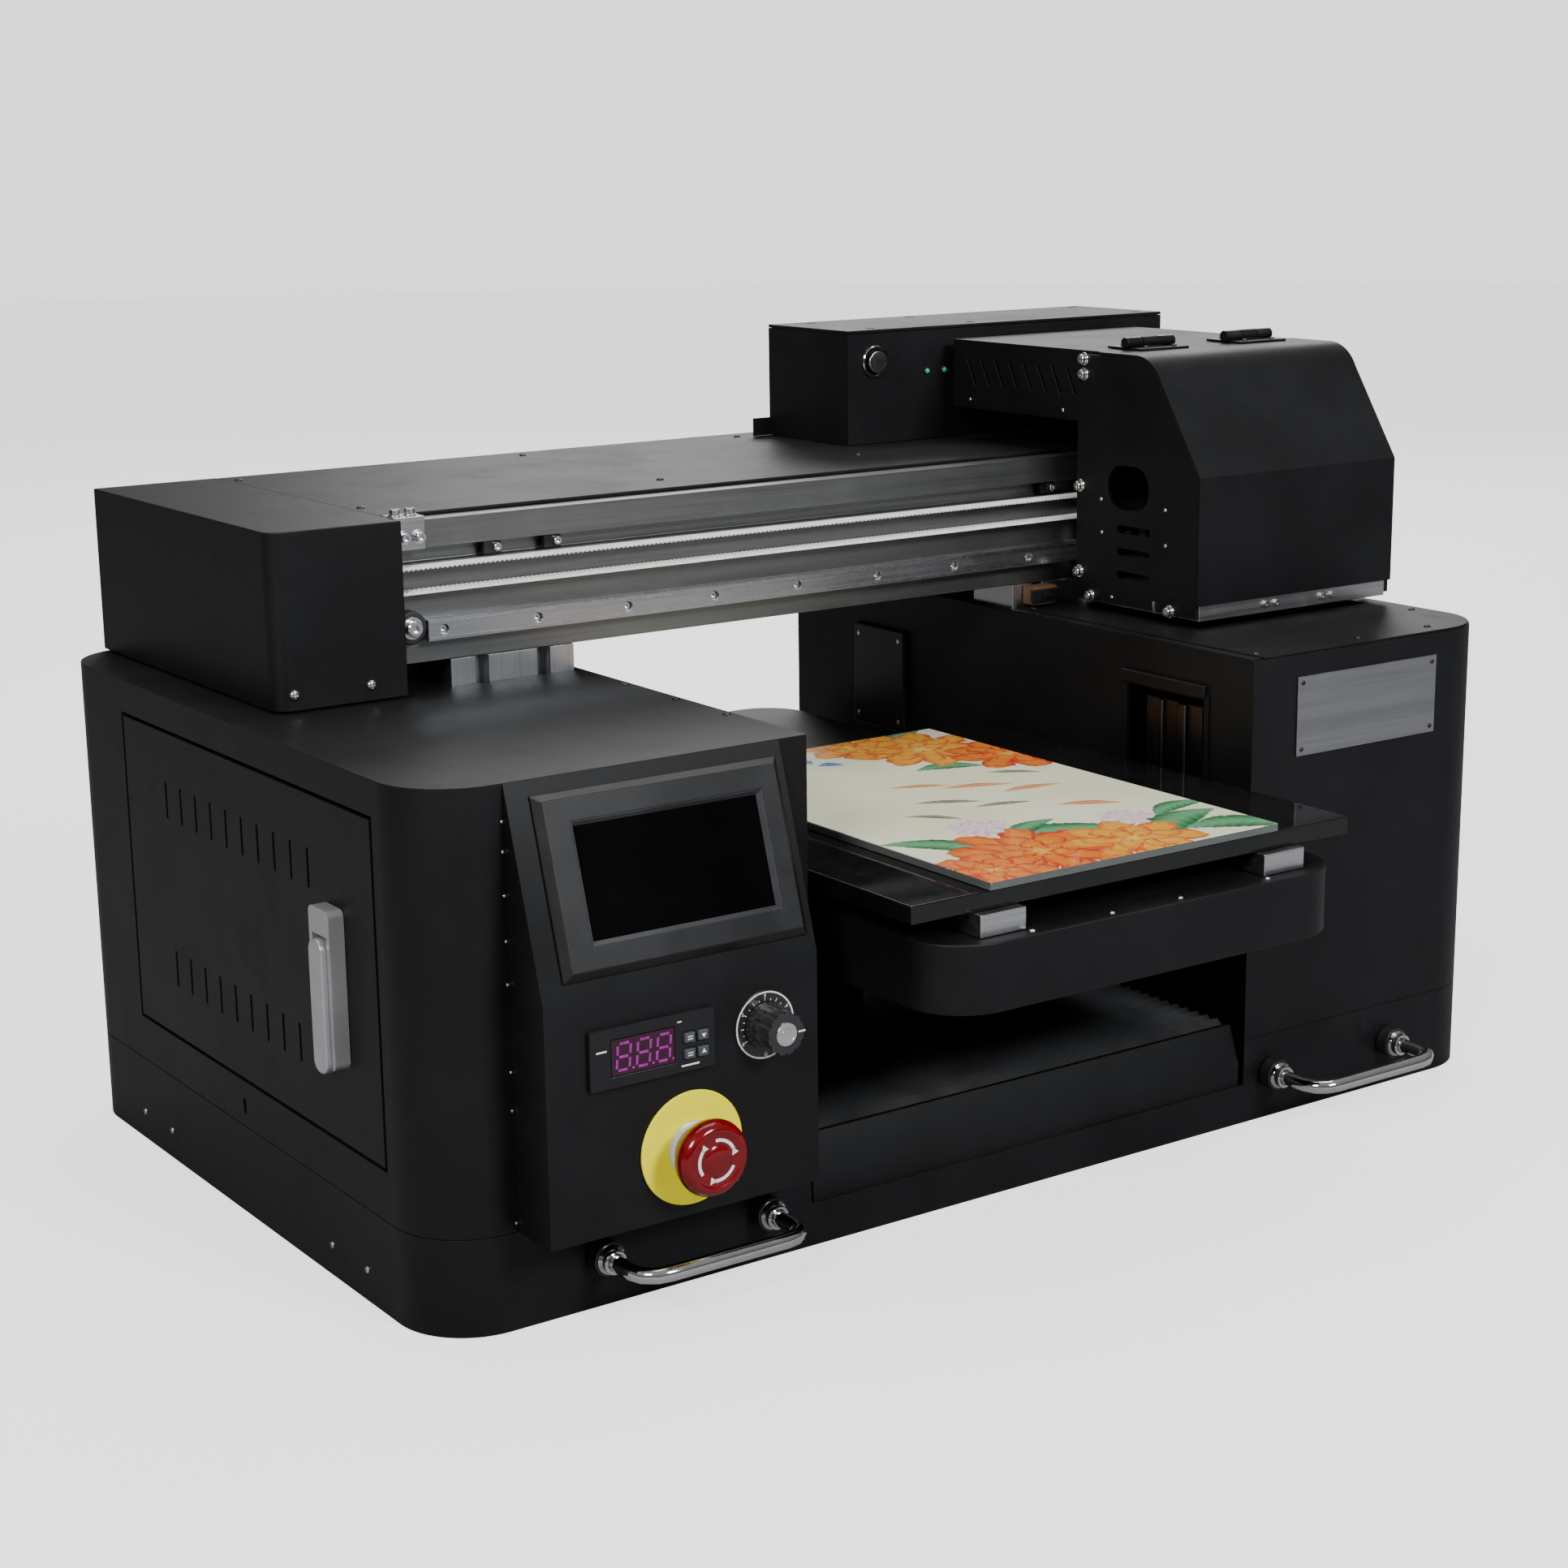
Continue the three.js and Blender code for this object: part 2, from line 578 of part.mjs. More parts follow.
// ---- posts and beam -----------------------------------------------------------------
// The outline of one T slot, as [across, in from the face] points.
function slotCutter(across) {
  const { mouth, lip, inner, flare, depth: deep } = groove;
  const half = mouth / 2;
  const wide = inner / 2;
  return [
    [across - half, -1], [across - half, lip], [across - wide, lip], [across - wide, lip + flare],
    [across - half, deep], [across + half, deep], [across + wide, lip + flare], [across + wide, lip],
    [across + half, lip], [across + half, -1],
  ];
}

function uprightPost([x0, x1]) {
  const body = box(x0, x1, postY[0], postY[1], sheet + gap, beam.bottom - gap);
  const places = [x0 + post.width / 4, x1 - post.width / 4];
  const cutters = places.flatMap((x) => [-1, 1].map((facing) => {
    const outline = slotCutter(x).map(([a, b]) => [a, facing < 0 ? postY[0] + b : postY[1] - b]);
    const geometry = new THREE.ExtrudeGeometry(shapeOf(outline), { depth: beam.bottom + 2,
      bevelEnabled: false });
    geometry.translate(leftFace, frontFace, -1);
    return solidOf(geometry);
  }));
  return cutAll(body, cutters);
}

add("left_post", uprightPost(leftPostX), ...aluminium);
add("right_post", uprightPost(rightPostX), ...aluminium);

const pulleyZ = (belt.low + belt.high) / 2;

function crossBeam() {
  const body = box(beam.left, beam.right, beam.front, beamBack, beam.bottom, beamTop);
  const heights = [beam.bottom + beam.height / 4, beamTop - beam.height / 4];
  const cutters = heights.flatMap((z) => [-1, 1].map((facing) => {
    const outline = slotCutter(z).map(([a, b]) => [facing < 0 ? beam.front + b : beamBack - b, a]);
    return sideProfile(outline, beam.left - 1, beam.right + 1);
  }));
  const shaftHole = bar("y", motor.shaft + 2, [belt.driveX, pulleyZ], beam.front - 1, beamBack + 1, 16);
  const idlerHole = bar("y", motor.shaft + gap, [belt.idlerX, pulleyZ], beam.front - 1, beam.front + 6, 16);
  const motorRelief = box(beam.left - 1, belt.driveX + 26, beam.front + motor.seat, beamBack + 1,
    beam.bottom - 1, beamTop + 1);
  return cutAll(body, [...cutters, shaftHole, idlerHole, motorRelief]);
}

add("cross_beam", crossBeam(), ...aluminium);

function linearRail() {
  const body = box(rail.left, rail.right, beam.front - gap - rail.height, beam.front - gap,
    rail.z - rail.width / 2, rail.z + rail.width / 2);
  const count = Math.floor((rail.right - rail.left - rail.firstHole) / rail.pitch);
  const holes = row(count, (i) => bar("y", rail.hole, [rail.left + rail.firstHole + i * rail.pitch, rail.z],
    beam.front - gap - rail.height - 1, beam.front - gap - rail.height + 3.5, 12));
  const waists = [-1, 1].map((side) => bar("x", 1.6, [beam.front - 5,
    rail.z + side * (rail.width / 2 + 0.9)],
    rail.left - 1, rail.right + 1, 8));
  return cutAll(body, [...holes, ...waists]);
}

add("linear_rail", linearRail(), ...steel);
add("rail_bumper", bar("y", bumper.radius, [bumper.x, bumper.z], beam.front - gap - bumper.length,
  beam.front - gap), ...rubber);

function beamHousing() {
  const outer = box(headBox.right + gap, beam.right, beamBack + gap, depth, beam.bottom + 2, beamTop);
  const inner = box(headBox.right - 5, beam.right - thinSheet, beamBack - 5, depth - thinSheet,
    beam.bottom + 2 + thinSheet, beamTop + 1);
  return outer.subtract(inner);
}

add("beam_housing", beamHousing(), ...paint);
add("beam_cover", box(headBox.right + gap, beam.right, beam.front + beamCover.front, depth,
  beamTop + gap, coverTop), ...paint);

// ---- belt drive ---------------------------------------------------------------------
const beltY = [beam.front - belt.standoff - belt.width, beam.front - belt.standoff];
const pulleyRadius = (belt.high - belt.low) / 2 - belt.thickness / 2 - gap;

function loopShape(radius) {
  const shape = new THREE.Shape();
  shape.absarc(belt.idlerX, pulleyZ, radius, -Math.PI / 2, Math.PI / 2);
  shape.absarc(belt.driveX, pulleyZ, radius, Math.PI / 2, Math.PI * 1.5);
  return shape;
}

function driveBelt() {
  const middle = (belt.high - belt.low) / 2;
  const outer = frontProfile(loopShape(middle + belt.thickness / 2), beltY[0], beltY[1]);
  return outer.subtract(frontProfile(loopShape(middle - belt.thickness / 2), beltY[0] - 1, beltY[1] + 1));
}

function pulley(x) {
  return bar("y", pulleyRadius, [x, pulleyZ], beltY[0] - 0.8, beltY[1] + 0.8);
}

function beltMotor() {
  const size = motor.size / 2;
  const face = beam.front + motor.seat + gap;
  return box(belt.driveX - size, belt.driveX + size, face, face + motor.length, pulleyZ - size,
    pulleyZ + size);
}

const drivePulley = joined(pulley(belt.driveX), bar("y", motor.shaft, [belt.driveX, pulleyZ],
  beltY[1], beam.front + motor.seat, 16));
const idlerPulley = joined(pulley(belt.idlerX), bar("y", motor.shaft, [belt.idlerX, pulleyZ],
  beltY[1], beam.front + 5, 16));
add("drive_belt", driveBelt(), 0xe8e8e4, 0.6, 0);
add("drive_pulley", drivePulley, ...aluminium);
add("idler_pulley", idlerPulley, ...aluminium);
add("belt_motor", beltMotor(), 0x2a2b2d, 0.4, 0.6);

function headCover() {
  const { left, right, front, bottom, top, edge } = headBox;
  const outer = prism(left, right, front, depth, bottom, top, [edge, 0, 0, 0]);
  const inner = prism(left + thinSheet, right + 5, front + thinSheet, depth - thinSheet, bottom - 1,
    top - thinSheet,
    [edge - thinSheet, 0, 0, 0]);
  return outer.subtract(inner);
}

add("head_box", headCover(), ...paint);

// ---- rear box -----------------------------------------------------------------------
function rearHousing() {
  const { left, right, front, back, top, tab, tabHeight } = rearBox;
  const bottom = coverTop + gap;
  const outer = box(left, right, front, back, bottom, top - thinSheet - gap);
  const inner = box(left + thinSheet, right - thinSheet, front + thinSheet, back - thinSheet,
    bottom + thinSheet, top + 5);
  const flange = box(left - tab, left + 1, back - thinSheet, back, bottom, bottom + tabHeight);
  const buttonHole = bar("y", powerButton.radius - 1.5, [powerButton.x, powerButton.z], front - 1,
    front + thinSheet + 1);
  return cutAll(joined(outer, flange), [inner, buttonHole]);
}

add("rear_box", rearHousing(), ...paint);
add("rear_box_lid", box(rearBox.left, rearBox.right, rearBox.front, rearBox.back, rearBox.top - thinSheet,
  rearBox.top), ...paint);

const buttonCentre = [powerButton.x, powerButton.z];
add("power_button", joined(
  bar("y", powerButton.radius - 2.2, buttonCentre, rearBox.front - powerButton.proud - 1,
    rearBox.front + 14),
  bar("y", powerButton.radius - 1, buttonCentre, rearBox.front - powerButton.proud - 1,
    rearBox.front - powerButton.travel - gap),
), ...steel);

// ---- carriage -----------------------------------------------------------------------
const plateLeft = carriage.left + sidePlate;
const plateRight = carriage.right - sidePlate;

// Side outline of the hood in (y, z), moved inwards by an even amount.
function hoodOutline(inset, backY, bottomZ) {
  const front = carriage.front + inset;
  const top = carriage.top - inset;
  const kink = hoodProfile.kinkZ - inset * 0.3;
  const radius = hoodProfile.arc - inset;
  const run = hoodProfile.flatEnd - carriage.front;
  const rise = carriage.top - hoodProfile.kinkZ;
  const lean = Math.atan2(run - hoodProfile.arc * 0.6, rise);
  const centreY = hoodProfile.flatEnd;
  const centreZ = carriage.top - hoodProfile.arc;
  const shape = new THREE.Shape();
  shape.moveTo(backY, bottomZ);
  shape.lineTo(backY, top);
  shape.lineTo(centreY, top);
  shape.absarc(centreY, centreZ, radius, Math.PI / 2, Math.PI - lean * 0.8);
  shape.lineTo(front, kink);
  shape.lineTo(front, bottomZ);
  shape.closePath();
  return shape;
}

const backPlateY = [carriage.back - backPlate, carriage.back];

function sideCheek(x0, x1, open) {
  const inset = coverSheet + gap;
  const profile = sideProfile(hoodOutline(inset, carriage.back, carriage.bottom + 2), x0, x1);
  if (!open) return profile;
  const { front, back, bottom, top, corner } = ovalHole;
  const oval = sideProfile(roundedShape(front, back, bottom, top, corner), x0 - 1, x1 + 1);
  const slots = cheekSlots.drops.map((up) => {
    const z = carriage.bottom + up;
    const outline = roundedShape(cheekSlots.front, cheekSlots.back, z - cheekSlots.half,
      z + cheekSlots.half,
      cheekSlots.half - 0.1);
    return sideProfile(outline, x0 - 1, x1 + 1);
  });
  return cutAll(profile, [oval, ...slots]);
}

add("carriage_left_plate", sideCheek(carriage.left, plateLeft, true), ...paint);
add("carriage_right_plate", sideCheek(plateRight, carriage.right, false), ...paint);
add("carriage_back_plate", box(plateLeft + gap, plateRight - gap, ...backPlateY,
  carriage.bottom + tray.height + gap, hoodProfile.kinkZ - 1.5), ...aluminium);

const hingeX = hinge.offsets.map((offset) => carriage.left + offset);
const barrelZ = carriage.top + hinge.barrel + hinge.lift;
const middleHalf = hinge.length / 6 - gap;

function frontCover() {
  const outer = sideProfile(hoodOutline(0, hinge.y - gap, hoodProfile.frontBottom), carriage.left,
    carriage.right);
  const inner = sideProfile(hoodOutline(coverSheet, hinge.y + 5, hoodProfile.frontBottom - 5),
    carriage.left - 1, carriage.right + 1);
  const leaves = hingeX.map((x) => movingLeaf(x));
  return joined(outer.subtract(inner), ...leaves);
}


function movingLeaf(x) {
  const knuckle = bar("x", hinge.barrel, [hinge.y, barrelZ], x - middleHalf, x + middleHalf, 16);
  const bore = bar("x", hinge.pin + 0.4, [hinge.y, barrelZ], x - 20, x + 20, 12);
  const leaf = box(x - hinge.length / 2, x + hinge.length / 2, hinge.y - hinge.reach,
    hinge.y - hinge.barrel - 1,
    carriage.top - 0.5, carriage.top + hinge.leaf);
  const arm1 = box(x - middleHalf, x + middleHalf, hinge.y - hinge.barrel - 3, hinge.y - 1,
    carriage.top + 0.7,
    carriage.top + hinge.leaf + 0.7);
  return joined(knuckle, arm1, leaf).subtract(bore);
}

function fixedLeaf(x) {
  const ends = [-1, 1].map((side) => {
    const near = x + side * (hinge.length / 6 + gap);
    const far = x + side * hinge.length / 2;
    const low = Math.min(near, far);
    const high = Math.max(near, far);
    return joined(
      bar("x", hinge.barrel, [hinge.y, barrelZ], low, high, 16),
      box(low, high, hinge.y + 1, hinge.y + hinge.barrel + 4, carriage.top + gap,
        carriage.top + gap + hinge.leaf),
    );
  });
  const leaf = box(x - hinge.length / 2, x + hinge.length / 2, hinge.y + hinge.barrel + 1.5,
    hinge.y + hinge.reach,
    carriage.top + gap, carriage.top + gap + hinge.leaf);
  const pin = bar("x", hinge.pin, [hinge.y, barrelZ], x - hinge.length / 2, x + hinge.length / 2, 12);
  return joined(...ends, leaf, pin);
}

add("front_cover", frontCover(), ...paint);
add("hinge_leaf_left", fixedLeaf(hingeX[0]), ...paint);
add("hinge_leaf_right", fixedLeaf(hingeX[1]), ...paint);

function hoodArm() {
  const x0 = plateLeft + gap;
  const x1 = plateRight - gap;
  const outer = box(x0, x1, hinge.y + gap, arm.back, arm.bottom, carriage.top);
  const inner = box(x0 + thinSheet, x1 - thinSheet, hinge.y - 5, arm.back - thinSheet, arm.bottom - 1,
    carriage.top - thinSheet);
  const vents = row(arm.vents, (i) => {
    const y = carriage.back + 14 + i * arm.ventPitch;
    const z = carriage.top - 12;
    const low = z - arm.ventLength;
    const foot = y - arm.ventLean;
    return sideProfile([[y, z], [y + arm.ventWidth, z], [foot + arm.ventWidth, low], [foot, low]],
      x0 - 1, x0 + thinSheet + 1);
  });
  return cutAll(outer, [inner, ...vents]);
}

add("hood_arm", hoodArm(), ...paint);

function bottomTray() {
  const top = carriage.bottom + tray.height;
  const front = carriage.front + coverSheet + gap;
  const back = backPlateY[1];
  const outer = box(plateLeft + gap, plateRight - gap, front, back, carriage.bottom, top);
  const inner = box(plateLeft - 5, plateRight + 5, front + thinSheet, back - thinSheet,
    carriage.bottom + thinSheet, top + 1);
  const openings = [printHead, lamp].map((part) => box(part.left - gap, part.right + gap, part.front - gap,
    part.back + gap, carriage.bottom - 1, carriage.bottom + thinSheet + 1));
  return cutAll(outer, [inner, ...openings]);
}

add("carriage_tray", bottomTray(), 0xa9acaf, 0.4, 0.7);

function headBlock() {
  const { left, right, front, back, top, bottom } = printHead;
  const lower = box(left, right, front, back, bottom, bottom + 22);
  const neck = box(left + 6, right - 6, front + 6, back - 6, bottom + 20, top - 26);
  const dampers = box(left + 2, right - 2, front, back, top - 28, top);
  return joined(lower, neck, dampers);
}

function lampBlock() {
  const { left, right, front, back, top, bottom } = lamp;
  const body = box(left, right, front, back, bottom, top);
  const fins = row(5, (i) => box(left - 1, right + 1, front + 6 + i * 14, front + 14 + i * 14, top - 20,
    top + 1));
  return cutAll(body, fins);
}

add("print_head", headBlock(), 0x2b2c2f, 0.5, 0.2);
add("uv_lamp", lampBlock(), ...aluminium);

const sliderZ = [rail.z - slider.half, rail.z + slider.half];
const sliderX = [carriage.left + slider.inset, carriage.right - slider.inset];

function railSlider() {
  const block = box(...sliderX, carriage.back + gap, beam.front - 3.5, ...sliderZ);
  const halfRail = rail.width / 2 + slider.play;
  const railSpace = box(sliderX[0] - 1, sliderX[1] + 1, beam.front - gap - rail.height - slider.play,
    beam.front,
    rail.z - halfRail, rail.z + halfRail);
  const clampX = [(carriage.left + carriage.right - slider.clamp) / 2,
    (carriage.left + carriage.right + slider.clamp) / 2];
  const clamp = box(...clampX, carriage.back + gap, beltY[1], sliderZ[1] - 1, belt.high + 4);
  const beltSpace = (z, half) => box(clampX[0] - 5, clampX[1] + 5, beltY[0] - gap, beltY[1] + 1, z - half,
    z + half);
  const lowSlot = beltSpace(belt.low, 2);
  const highSlot = beltSpace(belt.high, belt.thickness / 2 + gap);
  return cutAll(joined(block, clamp), [railSpace, lowSlot, highSlot]);
}

add("rail_slider", railSlider(), ...steel);

// ---- bed ----------------------------------------------------------------------------
const bedLeft = bedCentre - bedBox.width / 2;
const bedRight = bedCentre + bedBox.width / 2;
const columnHalf = lift.column / 2;
const carrierMid = carrier.y + carrier.depth / 2;

function columnHole(z0, z1) {
  const reach = columnHalf + runningGap;
  return box(bedCentre - reach, bedCentre + reach, carrierMid - reach, carrierMid + reach, z0, z1);
}

function bedHousing() {
  const r = bedBox.corner;
  const ri = r - thinSheet;
  const outer = prism(bedLeft, bedRight, bedBox.front, bedBox.back, bedBox.bottom, bedBox.top,
    [r, r, r, r]);
  const inner = prism(bedLeft + thinSheet, bedRight - thinSheet, bedBox.front + thinSheet,
    bedBox.back - thinSheet,
    bedBox.bottom + thinSheet, bedBox.top - thinSheet, [ri, ri, ri, ri]);
  return cutAll(outer, [inner, columnHole(bedBox.bottom - 1, bedBox.top + 1)]);
}

add("bed_box", bedHousing(), ...paint);

[["bed_bar_left", -1], ["bed_bar_right", 1]].forEach(([name, side]) => {
  const x = bedCentre + side * bedBar.spread / 2;
  add(name, box(x - bedBar.width / 2, x + bedBar.width / 2, bedBar.front, bedBar.back, barBottom,
    barBottom + bedBar.height), ...aluminium);
});

add("bed_plate", box(bedCentre - bedPlate.width / 2, bedCentre + bedPlate.width / 2, bedPlate.front,
  bedPlate.back,
  plateBottom, plateBottom + bedPlate.height), ...glossBlack);
add("glass_sheet", box(glass.left, glass.left + glass.width, glass.front, glass.back, glassBottom,
  glassBottom + glass.height), 0xf3ecc0, 0.08, 0);

function liftColumn() {
  const plateZ = plateBottom - gap - lift.plate;
  const halfWidth = lift.plateWidth / 2;
  const halfDepth = lift.plateDepth / 2;
  const plate = box(bedCentre - halfWidth, bedCentre + halfWidth, carrierMid - halfDepth,
    carrierMid + halfDepth,
    plateZ, plateZ + lift.plate);
  const column = box(bedCentre - columnHalf, bedCentre + columnHalf, carrierMid - columnHalf,
    carrierMid + columnHalf,
    lift.foot, plateZ + 1);
  return joined(plate, column);
}

add("lift_column", liftColumn(), ...steel);

const carrierBottom = channelFloor + gap + bedRail.height + gap;
const railPlaces = [bedCentre - bedRail.spread / 2, bedCentre + bedRail.spread / 2];

function bedCarrier() {
  const y0 = carrier.y;
  const y1 = carrier.y + carrier.depth;
  const slabTop = bellows.top - 1;
  const halfWidth = carrier.width / 2;
  const halfPedestal = carrier.pedestal / 2;
  const slab = box(bedCentre - halfWidth, bedCentre + halfWidth, y0, y1, slabTop - carrier.slab, slabTop);
  const runners = railPlaces.map((x) => box(x - carrier.runner / 2, x + carrier.runner / 2, y0 + 2,
    y1 - 2, channelFloor + 4, slabTop - 1)
    .subtract(box(x - bedRail.width / 2 - gap, x + bedRail.width / 2 + gap, y0 - 1, y1 + 1, channelFloor,
      carrierBottom)));
  const nut = box(bedCentre - 12, bedCentre + 12, y0 + 15, y1 - 15, screw.z - 11, slabTop - 1);
  const pedestal = box(bedCentre - halfPedestal, bedCentre + halfPedestal, y0 + 2, y1 - 2, slabTop - 1,
    bedBox.bottom - gap);
  return cutAll(joined(slab, ...runners, nut, pedestal), [
    columnHole(lift.foot - 4, bedBox.bottom + 1),
    bar("y", screw.radius + gap, [bedCentre, screw.z], y0 - 1, y1 + 1),
  ]);
}

add("bed_carrier", bedCarrier(), ...paint);
["bed_rail_left", "bed_rail_right"].forEach((name, i) => {
  add(name, box(railPlaces[i] - bedRail.width / 2, railPlaces[i] + bedRail.width / 2, bedRail.front,
    bedRail.back,
    channelFloor + gap, channelFloor + gap + bedRail.height), ...steel);
});
const bedMotorFront = bedMotor.back - bedMotor.length;
add("bed_screw", bar("y", screw.radius, [bedCentre, screw.z], sill.back + 2, bedMotorFront - gap),
  ...steel);
add("bed_motor", box(bedCentre - bedMotor.width / 2, bedCentre + bedMotor.width / 2, bedMotorFront,
  bedMotor.back,
  channelFloor + gap, channelFloor + gap + bedMotor.height), 0x2a2b2d, 0.4, 0.6);

// A pleated cover from one end to the other, drawn as a zigzag skin of even thickness.
function pleatedCover(y0, y1) {
  const count = Math.max(2, Math.round((y1 - y0) / bellows.pleat));
  const step = (y1 - y0) / count / 2;
  const top = row(count * 2 + 1, (i) => [y0 + i * step,
    i % 2 ? bellows.top : bellows.bottom + bellows.skin]);
  const bottom = top.map(([y, z]) => [y, z - bellows.skin]).reverse();
  return sideProfile([...top, ...bottom], channelLeft + bellows.sideGap, channelRight - bellows.sideGap);
}

add("front_bellows", pleatedCover(sill.back + gap, carrier.y - gap), ...rubber);
add("rear_bellows", pleatedCover(carrier.y + carrier.depth + gap, bellows.back), ...rubber);

// ---- trim ---------------------------------------------------------------------------
function carryHandle(centre) {
  const { span, z, rod, reach, bend, foot, footLength } = handle;
  const half = span / 2;
  const path = new THREE.CurvePath();
  const at = (x, y) => new THREE.Vector3(fromLeft(centre + x), fromFront(y), z);
  path.add(new THREE.LineCurve3(at(-half, -2), at(-half, -reach + bend)));
  path.add(new THREE.QuadraticBezierCurve3(at(-half, -reach + bend), at(-half, -reach), at(-half + bend,
    -reach)));
  path.add(new THREE.LineCurve3(at(-half + bend, -reach), at(half - bend, -reach)));
  path.add(new THREE.QuadraticBezierCurve3(at(half - bend, -reach), at(half, -reach),
    at(half, -reach + bend)));
  path.add(new THREE.LineCurve3(at(half, -reach + bend), at(half, -2)));
  const section = new THREE.Shape();
  section.absarc(0, 0, rod, 0, Math.PI * 2);
  const tube = solidOf(new THREE.ExtrudeGeometry(section, { steps: 24, extrudePath: path,
    curveSegments: 4 }));
  const feet = [-half, half].map((x) => bar("y", foot, [centre + x, z], -footLength, -gap));
  return joined(tube, ...feet);
}

["carry_handle_left", "carry_handle_right"].forEach((name, i) => {
  add(name, carryHandle(handle.centres[i]), ...chrome);
});

function cappingStation() {
  const { left, right, front, back, bottom, top } = cap;
  const body = box(left, right, front, back, bottom, top - 8);
  const pad = box(left + 10, right - 10, front + 8, back - 8, top - 9, top);
  const well = box(left + 13, right - 13, front + 11, back - 11, top - 4, top + 1);
  return joined(body, pad).subtract(well);
}

add("capping_station", cappingStation(), ...plastic);

export default group;
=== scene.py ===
"""Finish pieces for a desktop flatbed UV printer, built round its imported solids.

Lengths are millimetres from the left face, the front face and the ground. spot() turns them to metres.
"""
import math

import bmesh
import bpy
from bpy.props import FloatProperty, FloatVectorProperty, PointerProperty
from mathutils import Matrix, Vector


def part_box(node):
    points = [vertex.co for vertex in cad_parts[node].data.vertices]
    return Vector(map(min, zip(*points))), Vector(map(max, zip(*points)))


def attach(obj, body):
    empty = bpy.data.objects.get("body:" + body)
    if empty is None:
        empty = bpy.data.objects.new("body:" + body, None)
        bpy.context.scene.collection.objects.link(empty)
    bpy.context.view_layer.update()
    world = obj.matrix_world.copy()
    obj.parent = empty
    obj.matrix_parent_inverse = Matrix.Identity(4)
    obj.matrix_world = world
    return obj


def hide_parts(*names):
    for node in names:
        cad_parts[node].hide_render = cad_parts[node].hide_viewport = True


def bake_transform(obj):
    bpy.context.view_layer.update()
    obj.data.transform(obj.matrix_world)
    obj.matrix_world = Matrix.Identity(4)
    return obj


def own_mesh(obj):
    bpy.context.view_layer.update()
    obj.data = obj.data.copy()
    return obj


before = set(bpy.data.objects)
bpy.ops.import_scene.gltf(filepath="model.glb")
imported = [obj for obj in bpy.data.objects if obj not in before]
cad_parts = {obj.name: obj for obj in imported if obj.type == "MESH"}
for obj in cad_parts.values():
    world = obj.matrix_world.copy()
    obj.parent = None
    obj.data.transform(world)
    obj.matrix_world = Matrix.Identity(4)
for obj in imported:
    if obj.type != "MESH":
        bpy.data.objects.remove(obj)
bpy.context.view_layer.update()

bl_info = {
    "name": "Flatbed UV printer finish",
    "version": (1, 0, 0),
    "blender": (4, 5, 0),
    "location": "View3D > Sidebar > Flatbed printer",
    "description": "Builds the visible pieces of a flatbed UV printer round its solids",
    "category": "Object",
}

MM = 0.001
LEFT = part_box("plinth")[0].x
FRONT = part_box("left_cabinet_shell")[0].y
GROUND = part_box("plinth")[0].z

PAINT = ("black powder coat", "black_paint")
MOULDED = ("black moulded plastic", "black_plastic")
MACHINED = ("machined aluminium", "machined_aluminium")
WHITE_PRINT = ("white print", "key_plastic")
STEEL_SCREW = ("stainless screw", "button_steel")
BLACK_SCREW = ("black oxide screw", "button_steel")
CHROME = ("polished chrome", "handle_chrome")
HINGE_BLACK = ("black oxide screw", "hinge_black")

TO_FRONT = (0, -1, 0)
TO_LEFT = (-1, 0, 0)
TO_RIGHT = (1, 0, 0)
UP = (0, 0, 1)


# ---- places ---------------------------------------------------------------------------
def spot(x, y, z):
    """A point in metres, from millimetres to the right of LEFT, behind FRONT and above GROUND."""
    return Vector((LEFT + x * MM, FRONT + y * MM, GROUND + z * MM))


def span(node):
    """The low and high corners of a solid, in millimetres from LEFT, FRONT and GROUND."""
    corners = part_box(node)
    return [((c.x - LEFT) / MM, (c.y - FRONT) / MM, (c.z - GROUND) / MM) for c in corners]


def middle(node):
    low, high = span(node)
    return tuple((a + b) / 2 for a, b in zip(low, high))


# ---- modelling ------------------------------------------------------------------------
def deselect():
    for piece in bpy.context.selected_objects:
        piece.select_set(False)


def focus(piece):
    deselect()
    piece.select_set(True)
    bpy.context.view_layer.objects.active = piece
    return piece


def begin_edit(piece, kind="FACE"):
    focus(piece)
    bpy.ops.object.mode_set(mode="EDIT")
    bpy.ops.mesh.select_mode(type=kind)
    bpy.ops.mesh.select_all(action="DESELECT")


def end_edit():
    bpy.ops.object.mode_set(mode="OBJECT")


def choose(piece, test, kind="FACE"):
    """Selects, in edit mode, the faces, edges or points that pass the test."""
    mesh = bmesh.from_edit_mesh(piece.data)
    parts = {"FACE": mesh.faces, "EDGE": mesh.edges, "VERT": mesh.verts}[kind]
    for part in parts:
        if test(part):
            part.select_set(True)
    bmesh.update_edit_mesh(piece.data)


def settle(piece):
    """Puts the object's place, turn and size into its mesh."""
    focus(piece)
    bpy.ops.object.transform_apply(location=True, rotation=True, scale=True)
    return piece


def apply_modifier(piece, modifier):
    focus(piece)
    bpy.ops.object.modifier_apply(modifier=modifier.name)


def round_edges(piece, width, steps=2, angle=30):
    if width > 0:
        bevel = piece.modifiers.new("Rounded edges", "BEVEL")
        bevel.width = width * MM
        bevel.segments = steps
        bevel.limit_method = "ANGLE"
        bevel.angle_limit = math.radians(angle)
        apply_modifier(piece, bevel)
    return piece


def face_outwards(piece):
    begin_edit(piece)
    bpy.ops.mesh.select_all(action="SELECT")
    bpy.ops.mesh.normals_make_consistent(inside=False)
    end_edit()
    return piece


def cut(piece, *cutters):
    for cutter in cutters:
        boolean = piece.modifiers.new("Cut", "BOOLEAN")
        boolean.operation = "DIFFERENCE"
        boolean.solver = "EXACT"
        boolean.object = cutter
        apply_modifier(piece, boolean)
        bpy.data.objects.remove(cutter)
    return piece


